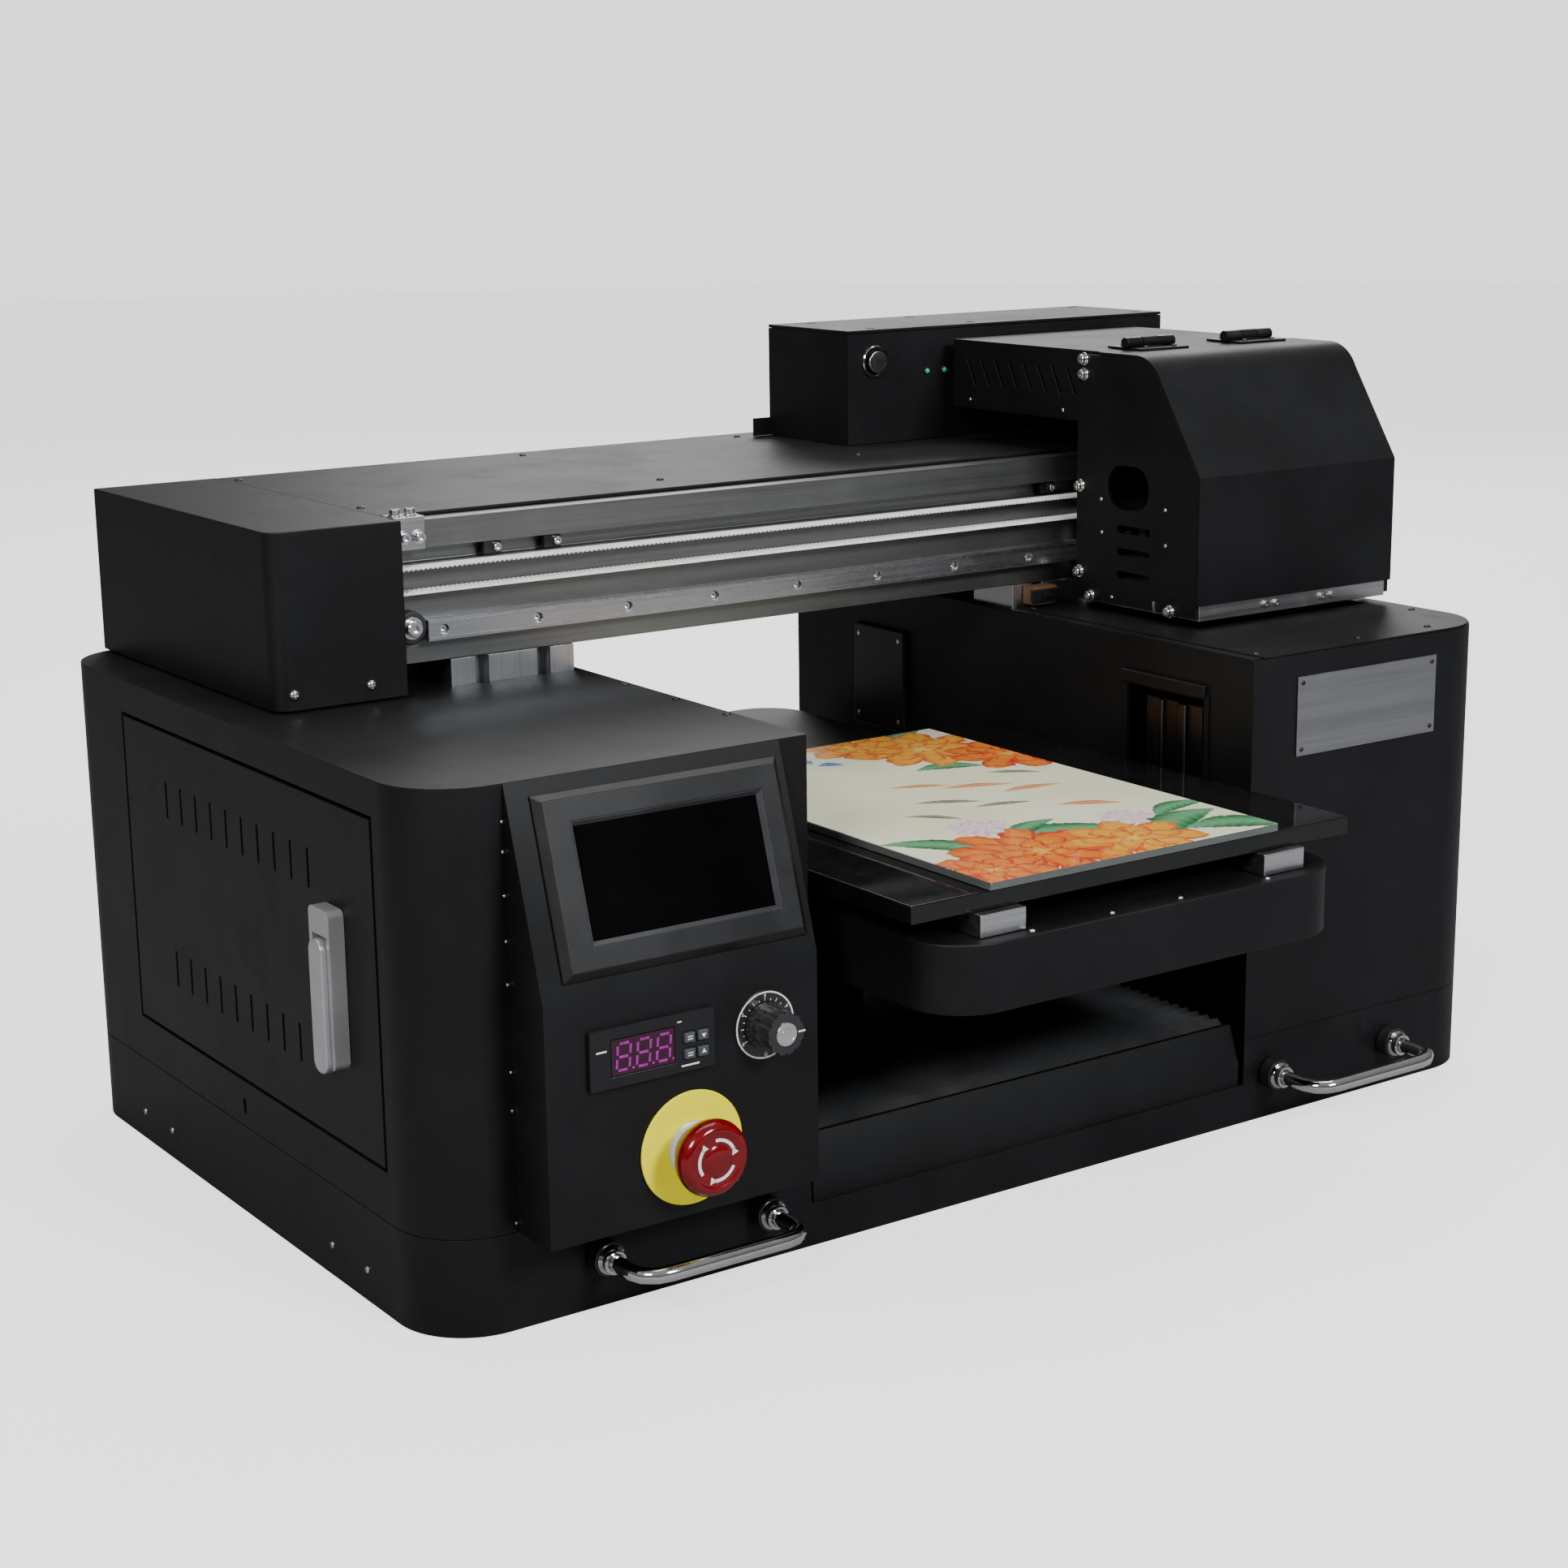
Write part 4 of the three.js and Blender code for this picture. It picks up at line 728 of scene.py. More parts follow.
# Each leaf or stroke: across and back, half length, half width, turn and tint.
LEAVES = (
    (100, 62, 44, 15, 0.35, "green"), (160, 40, 40, 16, -0.5, "green"), (188, 18, 34, 15, 0.5, "green"),
    (28, 74, 36, 12, 0.9, "green"), (184, 66, 26, 9, -0.2, "green"), (84, 76, 30, 9, -0.5, "green"),
    (146, 222, 24, 9, 0.3, "green"), (172, 306, 26, 9, -0.6, "green"), (20, 8, 24, 9, 0.2, "green"),
    (90, 150, 22, 3.6, 0.5, "ink"), (112, 128, 20, 3.4, 0.25, "ink"), (62, 126, 18, 3.4, 0.8, "ink"),
    (128, 172, 24, 4.2, 0.35, "ember"), (150, 150, 22, 4.0, 0.1, "ember"), (152, 100, 22, 4.6, 0.5, "ember"),
    (100, 190, 20, 3.6, 0.4, "ember"), (168, 186, 18, 3.4, 0.6, "ink"), (92, 268, 9, 5.0, 0.4, "blue"),
    (84, 282, 8, 4.5, 1.2, "blue"),
)
TINTS = {
    "warm": ((0.86, 0.55, 0.10), (0.83, 0.24, 0.03), (0.62, 0.05, 0.03)),
    "sunny": ((0.90, 0.70, 0.22), (0.88, 0.42, 0.05), (0.74, 0.13, 0.04)),
    "pale": ((0.88, 0.60, 0.55), (0.90, 0.80, 0.82), (0.82, 0.42, 0.50)),
    "green": ((0.03, 0.16, 0.06), (0.16, 0.42, 0.20)),
    "ink": ((0.06, 0.06, 0.05), (0.38, 0.36, 0.28)),
    "ember": ((0.62, 0.10, 0.03), (0.88, 0.48, 0.20)),
    "blue": ((0.04, 0.10, 0.42), (0.18, 0.32, 0.68)),
}


def flower_colour(tree, reach, tints):
    heart, body, rim = TINTS[tints]
    inner = blend_colours(tree, ramp(tree, reach, 0.15, 0.75), colour(heart), colour(body))
    return blend_colours(tree, ramp(tree, reach, 0.8, 1.12), inner, colour(rim))


def make_print():
    """A pale sheet printed with flowers and drifting leaves, under a clear gloss."""
    tree, shader = begin_material(
        "printed sheet", Coat_Weight=0.7, Coat_Roughness=0.04, Specular_IOR_Level=0.5
    )
    skin = use_effect(tree, "skin", Grain_mm=0.6, Mottle_mm=70.0)
    base = blend_colours(tree, skin["Mottle"], (0.88, 0.88, 0.58, 1.0), (0.94, 0.93, 0.72, 1.0))
    for across, back, length, width, turn, tint in LEAVES:
        leaf = use_effect(
            tree, "leaf", Centre_mm=print_place(across, back), Length_mm=length, Width_mm=width, Turn=turn
        )
        shade, light = TINTS[tint]
        tone = blend_colours(tree, leaf["Rib"], colour(shade), colour(light))
        base = blend_colours(tree, leaf["Cover"], base, tone)
    for across, back, radius, petals, turn, tints in FLOWERS:
        for ring_of, share in enumerate((1.0, 0.72, 0.46, 0.24)):
            petal = use_effect(
                tree, "petals", Centre_mm=print_place(across, back), Radius_mm=radius * share,
                Petals=petals - ring_of, Turn=turn + ring_of * 0.7,
            )
            base = blend_colours(tree, petal["Cover"], base, flower_colour(tree, petal["Reach"], tints))
    surface(tree, shader, base, skin["Mottle"], (0.10, 0.2), skin["Height"], 0.001)


# ---- pieces ---------------------------------------------------------------------------
SIDE_SCREWS = (370.5, 330, 116.8, 76)
CONSOLE_LEAN = math.atan(32.4 / 105)
CONSOLE_KINK = 177
SEAM_PINS = (263, 248, 226, 203, 181, 136, 116, 57)


def build_cabinets(sizes):
    edge = sizes.sheet_edge / MM
    dress("plinth", "frame", *PAINT, edge)
    left = tidy_copy("left_cabinet_shell", edge)
    peephole = block("peephole", (-2, 219.6, 59.5), (5, 223.2, 69), 1.6, 3)
    finish(cut(left, peephole), "frame", *PAINT, ("left_cabinet_shell",))
    dress("right_cabinet_shell", "frame", *PAINT, edge)
    side = [((-0.1, y, 17.6), TO_LEFT) for y in SIDE_SCREWS]
    fasten("plinth_side_screws", dome_screw(1.9, 1.0), side)
    pins = [((46.2, 0.1, z), TO_FRONT) for z in SEAM_PINS]
    fasten("console_seam_pins", dome_screw(0.9, 0.6), pins)
    roof = span("left_cabinet_shell")[1][2]
    roof_screws = [((221, y, roof), UP) for y in (67, 117, 170)]
    fasten("left_roof_screws", dome_screw(2.4, 1.3), roof_screws, look=BLACK_SCREW)
    build_right_lid(roof)
    build_channel_wall()
    build_name_plate()


def build_right_lid(roof):
    """A thin lid screwed down on the right cabinet, with the parking hole through it."""
    low, high = span("right_cabinet_shell")
    corner = 40
    lid = block("right_lid", (low[0] + 9, 1, roof + 0.05), (high[0] - 1, high[1] - 1, roof + 1.5), 0)
    begin_edit(lid, "EDGE")
    right = spot(high[0] - 2, 0, 0).x
    choose(lid, lambda e: abs(e.verts[0].co.z - e.verts[1].co.z) > MM and e.verts[0].co.x > right, "EDGE")
    bpy.ops.mesh.bevel(offset=corner * MM, segments=14)
    end_edit()
    hole = block("hole", (588, 96, roof - 4), (734, 196, roof + 6), 0)
    round_edges(cut(lid, hole), 0.35, 2)
    finish(lid, "frame", *PAINT)
    strip = block("right_roof_strip", (low[0] + 0.4, 2, roof + 0.05),
                  (low[0] + 8.2, high[1] - 2, roof + 0.9), 0.35)
    finish(strip, "frame", *PAINT)
    places = [(556, y) for y in (12, 214, 300, 448)]
    places += [(640, 12), (700, 12), (738, 60), (738, 400), (640, 448)]
    screws = [((x, y, roof + 1.4), UP) for x, y in places]
    fasten("right_lid_screws", dome_screw(2.2, 1.2), screws, look=BLACK_SCREW)


def build_channel_wall():
    """The framed window, the steel plate behind it and the cable cover on the channel's right wall."""
    wall = span("right_cabinet_shell")[0][0]
    outer = block("window_frame", (wall - 1.5, 36, 156), (wall - 0.1, 112, 257), 0)
    hole = block("hole", (wall - 3, 40, 160), (wall + 3, 108, 253), 0)
    round_edges(cut(outer, hole), 0.4)
    finish(outer, "frame", *PAINT)
    lip = block("window_lip", (wall - 3.4, 38, 254), (wall - 0.1, 112, 262), 0.9, 3)
    finish(lip, "frame", *PAINT)
    plate = block("tank_bracket", (wall + 7, 50, 150), (wall + 9, 99, 246), 0.5)
    ridge = block("ridge", (wall + 4.5, 62, 150), (wall + 8, 70, 246), 1.2, 3)
    second = block("ridge", (wall + 4.5, 82, 150), (wall + 8, 88, 246), 1.2, 3)
    finish(join("tank_bracket", [plate, ridge, second]), "frame", "bracket steel", "machined_aluminium")
    cover = block("cable_cover", (wall - 3.5, 331, 183), (wall - 0.1, 388, 253), 1.2, 3)
    finish(cover, "frame", *MOULDED)
    fixings = [((wall - 3.4, y, z), TO_LEFT) for y in (337, 382) for z in (190, 246)]
    fasten("cable_cover_screws", dome_screw(1.8, 0.5), fixings)


def build_name_plate():
    """A plain brushed plate with a rivet at each corner."""
    front = span("right_cabinet_shell")[0][1]
    low, high = (578, 221), (695, 269)
    plate = block("name_plate", (low[0], front - 1.2, low[1]), (high[0], front - 0.1, high[1]), 0.35)
    finish(plate, "frame", "plate steel", "machined_aluminium")
    corners = [((x, front - 1.15, z), TO_FRONT) for x in (582, 691) for z in (225, 265)]
    fasten("name_plate_rivets", dome_screw(1.5, 0.8), corners, look=BLACK_SCREW)


def build_side_door():
    dress("side_door", "side_door", *PAINT, 0.3)
    dress("latch_base", "side_door", "latch silver paint", "latch_silver", 0.8, 3)
    dress("latch_lever", "latch_lever", "latch silver paint", "latch_silver", 1.4, 4)


def build_console():
    dress("console_housing", "frame", *PAINT, 0.8, 3)
    dress("screen_bezel", "frame", *MOULDED, 0.6, 3)
    dress("touch_screen", "frame", "screen glass", "screen_glass", 0.3)
    build_screen_rim()


def build_screen_rim():
    """The sloping walls round the screen, modelled flat and then leaned back with the console. They take a
    lighter bluish grey than the black bezel: a painted highlight where the walls catch the light.
    """
    lean = CONSOLE_LEAN
    outer = flat_block("screen_rim", (77.55, 24.55, 1.3), (189.45, 85.95, 4.9))
    hole = flat_block("hole", (80.6, 27.6, 0.5), (186.4, 82.9, 5.7))
    begin_edit(hole)
    choose(hole, lambda f: f.normal.z > 0.9)
    bpy.ops.transform.resize(value=(1.062, 1.122, 1))
    end_edit()
    rim = cut(outer, hole)
    sine, cosine = math.sin(lean), math.cos(lean)
    slope = Matrix(((1, 0, 0, 0), (0, sine, -cosine, 0), (0, cosine, sine, 0), (0, 0, 0, 1)))
    foot = Vector((LEFT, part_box("console_housing")[0].y, GROUND + CONSOLE_KINK * MM))
    rim.matrix_world = Matrix.Translation(foot) @ slope
    # The rim takes the lighter grey of the painted highlight, not the bezel's black.
    finish(settle(rim), "frame", "bezel chamfer painted highlight", "black_plastic")


def flat_block(name, low, high):
    """A block placed straight from its millimetres, before it is leaned."""
    centre = [(a + b) / 2 * MM for a, b in zip(low, high)]
    return cuboid(name, centre, [(b - a) * MM for a, b in zip(low, high)])


def build_digits(face, low, high):
    """Three seven-segment digits with their points, raised a hair from the window."""
    tall, wide, bar = 13.6, 7.4, 1.35
    centre_z = (low[2] + high[2]) / 2
    half, side, thick, gap = tall / 2, wide / 2, bar / 2, 0.35
    segments = []
    for digit in range(3):
        x = low[0] + 7.0 + digit * 11.6
        for z in (-half, 0, half):
            segments.append((x - side + 1.1, z - thick, x + side - 1.1, z + thick))
        for across in (x - side, x + side):
            for z in (-half + gap + thick, gap + thick):
                segments.append((across - thick, z, across + thick, z + half - bar - 2 * gap))
        segments.append((x + side + 1.7, -half - 0.6, x + side + 2.9, -half + 0.6))
    made = [
        block("segment", (left, face - 0.16, centre_z + bottom), (right, face, centre_z + top), 0.06, 1)
        for left, bottom, right, top in segments
    ]
    digits = join("thermostat_digits", made)
    lean = 0.09
    foot = spot(0, 0, centre_z).z
    digits.data.transform(Matrix(((1, 0, lean, -lean * foot), (0, 1, 0, 0), (0, 0, 1, 0), (0, 0, 0, 1))))
    finish(digits, "frame", "lit digit", "stop_red")


def build_thermostat():
    dress("thermostat_body", "frame", *MOULDED, 0.5, 3)
    low, high = span("thermostat_body")
    face = low[1]
    pocket_low = (low[0] + 12.3, face, low[2] + 6.3)
    pocket_high = (low[0] + 48.7, face, high[2] - 6.3)
    window = block("thermostat_window", (pocket_low[0], face + 0.3, pocket_low[2]),
                   (pocket_high[0], face + 0.9, pocket_high[2]), 0.2)
    finish(window, "frame", "digit window", "screen_glass")
    build_digits(face + 0.28, pocket_low, pocket_high)
    for index in range(1, 5):
        node = f"thermostat_key_{index}"
        dress(node, node, "key cap plastic", "key_plastic", 0.5, 3)
        x, _, z = middle(node)
        front = span(node)[0][1]
        if index % 2:
            mark = join("mark", [
                block("bar", (x - 1.5, front - 0.12, z + dz), (x + 1.5, front + 0.05, z + dz + 0.5), 0.04, 1)
                for dz in (-0.9, 0.4)
            ])
        else:
            mark = turned("mark", Vector(), UP, [(1.5, 0), (1.5, 0.14)], 3)
            mark.matrix_world = Matrix.Rotation(0 if z > middle("thermostat_body")[2] else math.pi, 4, "Z")
            mark = aim(settle(mark), spot(x, front + 0.02, z), TO_FRONT)
        mark.name = mark.data.name = f"thermostat_key_mark_{index}"
        finish(mark, node, *WHITE_PRINT)
    bars = (
        (low[0] + 3.6, high[2] - 11.5, low[0] + 9.4, high[2] - 10.6),
        (high[0] - 20, low[2] + 3.0, high[0] - 9.5, low[2] + 3.9),
        (low[0] + 50.5, high[2] - 4.6, low[0] + 53.0, high[2] - 3.9),
    )
    label = join("thermostat_label_bars", [
        block("bar", (left, face - 0.1, bottom), (right, face + 0.05, top), 0.04, 1)
        for left, bottom, right, top in bars
    ])
    finish(label, "frame", *WHITE_PRINT)


def build_speed_dial():
    """The dial plate with its scale, and the knob with its turned cap and pointer."""
    dress("speed_knob", "speed_knob", "black button plastic", "black_plastic", 0.35, 2, 20)
    x, _, z = middle("speed_knob")
    tip = span("speed_knob")[0][1]
    panel = span("console_housing")[0][1]
    profile = [(18.2, 0), (18.3, 0.2), (18.3, 0.55), (18.0, 0.75)]
    plate = turned("dial_plate", spot(x, panel - 0.05, z), TO_FRONT, profile, 64)
    finish(plate, "frame", "dial black", "black_plastic")
    rim = ring("dial_ring", spot(x, panel - 0.74, z), TO_FRONT, 17.7, 16.9, 0.14, 64, 0.03)
    made = [rim]
    for index in range(21):
        angle = math.radians(-120 + index * 15)
        tall = 1.9 if index % 2 == 0 else 1.1
        tick = block("tick", (x - 0.17, panel - 0.88, z + 12.9),
                     (x + 0.17, panel - 0.74, z + 12.9 + tall), 0.04, 1)
        hub = Matrix.Translation(spot(x, 0, z))
        tick.data.transform(hub @ Matrix.Rotation(angle, 4, "Y") @ hub.inverted())
        made.append(tick)
    for index in range(0, 11, 2):
        made.append(numeral(str(index), x, z, panel - 0.80, math.radians(-120 + index * 30)))
    finish(join("dial_scale", made), "frame", "white print", "black_plastic")
    profile = [(6.2, 0), (6.2, 0.7), (5.9, 1.0), (4.9, 1.0), (4.7, 0.8), (3.2, 0.8), (3.0, 1.0), (1.2, 1.0)]
    cap = turned("knob_cap", spot(x, tip + 0.2, z), TO_FRONT, profile, 48)
    finish(cap, "speed_knob", "knob cap", "machined_aluminium")
    pointer = block("knob_pointer", (x + 7.3, tip - 0.2, z - 0.45), (x + 11.6, tip + 0.4, z + 0.45), 0.15)
    finish(pointer, "speed_knob", *WHITE_PRINT)


def numeral(text, x, z, y, angle):
    """A small upright number on the dial, at an angle clockwise from the top."""
    deselect()
    bpy.ops.object.text_add()
    figure = bpy.context.object
    figure.data.body = text
    figure.data.size = 2.6 * MM
    figure.data.extrude = 0.05 * MM
    figure.data.align_x = "CENTER"
    figure.data.align_y = "CENTER"
    focus(figure)
    bpy.ops.object.convert(target="MESH")
    figure = bpy.context.object
    figure.matrix_world = (
        Matrix.Translation(spot(x + 15.7 * math.sin(angle), y, z + 15.7 * math.cos(angle)))
        @ Matrix.Rotation(math.radians(90), 4, "X")
    )
    return settle(figure)


def build_emergency_stop():
    x, _, z = middle("estop_collar")
    panel = span("console_housing")[0][1]
    plate = ring("estop_ring", spot(x, panel - 0.3, z), TO_FRONT, 30, 14.2, 1.6, 96, 0.4)
    finish(plate, "frame", "warning yellow plastic", "warning_yellow", ("estop_collar",))
    profile = [
        (14.2, 0), (14.4, 0.4), (14.4, 2.6), (13.7, 3.0), (13.7, 4.2), (14.3, 4.6), (14.3, 6.0), (13.9, 6.4),
    ]
    collar = turned("estop_clear_collar", Vector(), UP, profile, 64)
    bore = turned("bore", Vector((0, 0, -MM)), UP, [(8.7, 0), (8.7, 16)], 48)
    aim(cut(collar, bore), spot(x, panel - 0.3, z), TO_FRONT)
    finish(collar, "frame", "clear collar", "warning_yellow")
    dress("estop_stem", "estop_plunger", "red button", "stop_red", 0.5)
    button_back = span("estop_button")[1][1]
    base = spot(x, button_back, z)
    profile = [
        (15.4, 0), (16.9, 0.5), (18.9, 2.6), (19.8, 5.4), (20.0, 7.4), (19.5, 9.8), (18.2, 11.8),
        (16.6, 12.9), (15.2, 13.2), (14.2, 12.9), (13.3, 12.2), (8.4, 12.1), (7.8, 12.7), (6.8, 13.3),
        (4.6, 13.7), (2.0, 13.9),
    ]
    button = turned("estop_button_finish", base, TO_FRONT, profile, 96)
    finish(button, "estop_head", "red button", "stop_red", ("estop_button",), 50)
    arrows = []
    for index in range(3):
        start = math.radians(index * 120 + 20)
        sweep = math.radians(74)
        band = arc_band(9.7, 11.4, 12.22, 0.16, start, sweep)
        tip = start
        head = turned("arrow_head", Vector(), UP, [(2.3, 0), (2.3, 0.16)], 3)
        head.matrix_world = (
            Matrix.Rotation(tip, 4, "Z") @ Matrix.Translation((10.55 * MM, -1.1 * MM, 12.22 * MM))
            @ Matrix.Rotation(math.radians(180), 4, "Z")
        )
        arrows += [band, settle(head)]
    finish(aim(join("estop_arrows", arrows), base, TO_FRONT), "estop_head", *WHITE_PRINT)


def arc_band(inner, outer, height, thick, start, sweep):
    """A flat band spun part of the way round the +Z axis."""
    deselect()
    bpy.ops.mesh.primitive_plane_add(size=1, rotation=(math.pi / 2, 0, 0))
    band = bpy.context.object
    band.scale = ((outer - inner) * MM, thick * MM, 1)
    settle(band)
    band.location = ((inner + outer) / 2 * MM, 0, (height + thick / 2) * MM)
    settle(band)
    begin_edit(band)
    bpy.ops.mesh.select_all(action="SELECT")
    bpy.ops.mesh.spin(steps=14, angle=-sweep, center=(0, 0, 0), axis=(0, 0, 1))
    end_edit()
    band.matrix_world = Matrix.Rotation(start, 4, "Z")
    return face_outwards(settle(band))


RAIL_INSET = 10.0
RAIL_PITCH = 60.0


def build_beam():
    for node in ("left_post", "right_post"):
        dress(node, "frame", "drawn aluminium upright", "aluminium_section", 0.4)
    dress("cross_beam", "frame", "drawn aluminium", "aluminium_section", 0.4)
    dress("linear_rail", "frame", "ground rail steel", "rail_steel", 0.35)
    rail_low, rail_high = span("linear_rail")
    rail_z = (rail_low[2] + rail_high[2]) / 2
    holes = int((rail_high[0] - rail_low[0] - RAIL_INSET) / RAIL_PITCH)
    start = rail_low[0] + RAIL_INSET
    screws = [((start + i * RAIL_PITCH, rail_low[1] + 4.6, rail_z), TO_FRONT) for i in range(holes)]
    fasten("rail_screws", socket_cap(2.3, 2.6), screws)
    for side, low_z in (("lower", rail_low[2] + 1.2), ("upper", rail_high[2] - 2.0)):
        line = block(f"rail_{side}_groove_line", (rail_low[0] + 1, rail_low[1] - 0.08, low_z),
                     (rail_high[0] - 1, rail_low[1] + 0.3, low_z + 0.8), 0.07, 1)
        finish(line, "frame", "shaft steel", "rail_steel")
    build_beam_fittings()


def build_beam_fittings():
    """The corner bracket, the nuts in the upper slot and the end sensor."""
    low, high = span("cross_beam")
    face, top = low[1], high[2]
    bracket = join("beam_bracket", [
        block("leg", (108.5, face - 2.6, top - 16), (127, face - 0.1, top + 2.4), 0.5),
        block("leg", (108.5, face - 2.2, top + 0.1), (127, face + 13.4, top + 2.4), 0.5),
    ])
    finish(bracket, "frame", *MACHINED)
    caps = [((x, face + 5.6, top + 2.3), UP) for x in (112.8, 122)]
    caps += [((x, face - 2.5, top - 9), TO_FRONT) for x in (113.5, 122.8)]
    fasten("beam_bracket_screws", socket_cap(2.9, 3.2, 4.0), caps)
    slot_z = top - (high[2] - low[2]) / 4
    nuts = []
    for x in (171, 210, 578):
        nuts.append(block("nut", (x - 5.5, face + 1.4, slot_z - 3.6),
                          (x + 5.5, face + 4.5, slot_z + 3.6), 0.5))
    finish(join("slot_nuts", nuts), "frame", "black oxide screw", "motor_black")
    nut_screws = [((x + dx, face + 1.5, slot_z + 0.4), TO_FRONT) for x in (171, 210, 578) for dx in (2.4,)]
    fasten("slot_nut_screws", socket_cap(2.4, 2.6), nut_screws)
    foot = block("sensor_block", (556, face - 12, 285.2), (575, face - 0.5, 297), 0.7)
    finish(foot, "frame", "brown block", "black_plastic")
    body = block("end_sensor", (552.5, face - 15.2, 287.5), (578, face - 12.1, 295.5), 0.6)
    button = block("sensor_arm", (560, face - 16.6, 290), (571, face - 15, 293.5), 0.5)
    finish(join("end_sensor", [body, button]), "frame", *MOULDED)


def build_belt_drive(sizes):
    dress("drive_belt", "frame", "white belt", "belt_white", 0)
    for pulley in ("drive_pulley", "idler_pulley"):
        dress(pulley, pulley, *MACHINED, 0.3)
    dress("rail_bumper", "frame", "black rubber", "black_rubber", 1.4, 3)
    x, _, z = middle("rail_bumper")
    front = span("rail_bumper")[0][1]
    bolt = set_out("bumper_bolt", socket_cap(4.6, 4.0, 6.4), [((x, front + 0.1, z), TO_FRONT)])
    finish(bolt, "frame", *STEEL_SCREW)
    dress("belt_motor", "frame", "motor black", "motor_black", 1.2)
    low, high = span("drive_belt")
    pitch = sizes.tooth_pitch / MM
    count = int((high[0] - low[0] - 34) / pitch)
    start = low[0] + 17
    for name, z in (("belt_lower_teeth", low[2] + 1.3), ("belt_upper_teeth", high[2] - 2.1)):
        tooth = block(name, (start, low[1] + 0.3, z), (start + pitch * 0.5, high[1] - 0.3, z + 0.8), 0)
        begin_edit(tooth)
        choose(tooth, lambda f: abs(f.normal.z) > 0.9)
        bpy.ops.transform.resize(value=(0.8, 1, 1))
        end_edit()
        array = tooth.modifiers.new("Teeth", "ARRAY")
        array.use_relative_offset = False
        array.use_constant_offset = True
        array.constant_offset_displace = (pitch * MM, 0, 0)
        array.count = count
        apply_modifier(tooth, array)
        finish(tooth, "frame", "white belt", "belt_white", weighted=False)


LAMPS = (570.5, 585.0)
LAMP_HEIGHT = 426.0


def build_covers(sizes):
    edge = sizes.sheet_edge / MM
    dress("head_box", "frame", *PAINT, edge)
    low, high = span("head_box")
    screws = [((x, low[1] - 0.05, low[2] + 9), TO_FRONT) for x in (38.7, 84.7)]
    fasten("head_box_screws", dome_screw(3.0, 1.8), screws)
    dress("beam_housing", "frame", *PAINT, edge)
    dress("beam_cover", "frame", *PAINT, 0.4)
    top = span("beam_cover")[1][2]
    places = [(113, 274), (312, 273), (480, 300), (113, 440), (312, 440), (480, 440)]
    screws = [((x, y, top - 0.05), UP) for x, y in places]
    fasten("beam_cover_screws", dome_screw(2.4, 1.3), screws, look=BLACK_SCREW)
    dress("rear_box", "frame", *PAINT, edge)
    low, high = span("rear_box_lid")
    across = (low[0] + 27, low[0] + 112, high[0] - 14)
    places = [(x, y) for x in across for y in (low[1] + 12, high[1] - 12)]
    lid = tidy_copy("rear_box_lid", 0.3)
    recess = turned("recess", Vector(), UP, [(3.4, 0), (3.4, 2), (3.0, 2.2)], 24)
    cut(lid, set_out("recesses", recess, [((x, y, high[2] - 1.0), UP) for x, y in places]))
    finish(lid, "frame", *PAINT, ("rear_box_lid",))
    screws = [((x, y, high[2] - 1.05), UP) for x, y in places]
    fasten("rear_box_screws", dome_screw(2.6, 0.95), screws, look=BLACK_SCREW)
    dress("power_button", "power_button", *STEEL_SCREW, 0.8, 3)
    x, _, z = middle("power_button")
    bezel = ring("power_button_ring", spot(x, low[1] - 0.05, z), TO_FRONT, 10.6, 8.4, 1.8, 48, 0.5)
    finish(bezel, "frame", "polished chrome", "button_steel")
    lamp = turned("lamp", Vector(), UP, [(1.7, 0), (1.7, 0.5), (1.5, 1.1), (0.9, 1.6), (0.3, 1.75)], 20)
    lamps = [((across, low[1] - 0.05, LAMP_HEIGHT), TO_FRONT) for across in LAMPS]
    fasten("signal_lamps", lamp, lamps, look=("green lamp", "screen_glass"))
    collars = [((across, low[1] - 0.02, LAMP_HEIGHT), TO_FRONT) for across in LAMPS]
    collar = ring("ring", Vector(), UP, 2.6, 1.8, 0.7, 24, 0.2)
    fasten("signal_lamp_rings", collar, collars, look=BLACK_SCREW)


PLATE_CAPS = ((197.7, 442.0), (197.5, 432.6), (200, 362), (200, 307), (189, 292.5), (114.6, 291.8))
PLATE_PINS = ((179.9, 355.1), (178.7, 334.1), (120.4, 354.1), (119.7, 332.1), (168.5, 293.8))


def build_carriage():
    for node in ("carriage_left_plate", "carriage_right_plate", "hood_arm"):
        dress(node, "carriage", *PAINT, 0.4)
    dress("front_cover", "front_cover", *PAINT, 0.4)
    dress("carriage_back_plate", "carriage", *MACHINED, 0.5)
    dress("rail_slider", "carriage", "plate steel", "rail_steel", 0.6)
    dress("carriage_tray", "carriage", "machined aluminium", "tray_silver", 0.4)
    dress("print_head", "carriage", *MOULDED, 0.8)
    dress("uv_lamp", "carriage", "motor black", "motor_black", 0.8)
    left = span("carriage_left_plate")[0][0]
    right = span("carriage_right_plate")[1][0]
    sides = ((left, TO_LEFT), (right, TO_RIGHT))
    caps = [((x, y, z), facing) for x, facing in sides for y, z in PLATE_CAPS]
    fasten("carriage_cap_screws", socket_cap(2.9, 3.0, 4.1), caps, "carriage")
    pins = [((x, y, z), facing) for x, facing in sides for y, z in PLATE_PINS]
    arm_left = span("hood_arm")[0][0]
    pins += [((arm_left, y, 407.8), TO_LEFT) for y in (316.7, 221.8)]
    fasten("carriage_pins", dome_screw(1.3, 0.9), pins, "carriage")
    stub = block("carriage_slot_pin", (left - 0.8, 127.9, 290.2), (left + 0.2, 130.1, 296.4), 0.4)
    finish(stub, "carriage", *STEEL_SCREW)
    tray_front = span("carriage_tray")[0][1]
    front = [((x, tray_front + 0.05, 293.4), TO_FRONT) for x in (641, 650, 690, 699)]
    fasten("tray_screws", socket_cap(2.2, 2.2), front, "carriage")
    build_hinges()


HINGE_LINE = 185.0


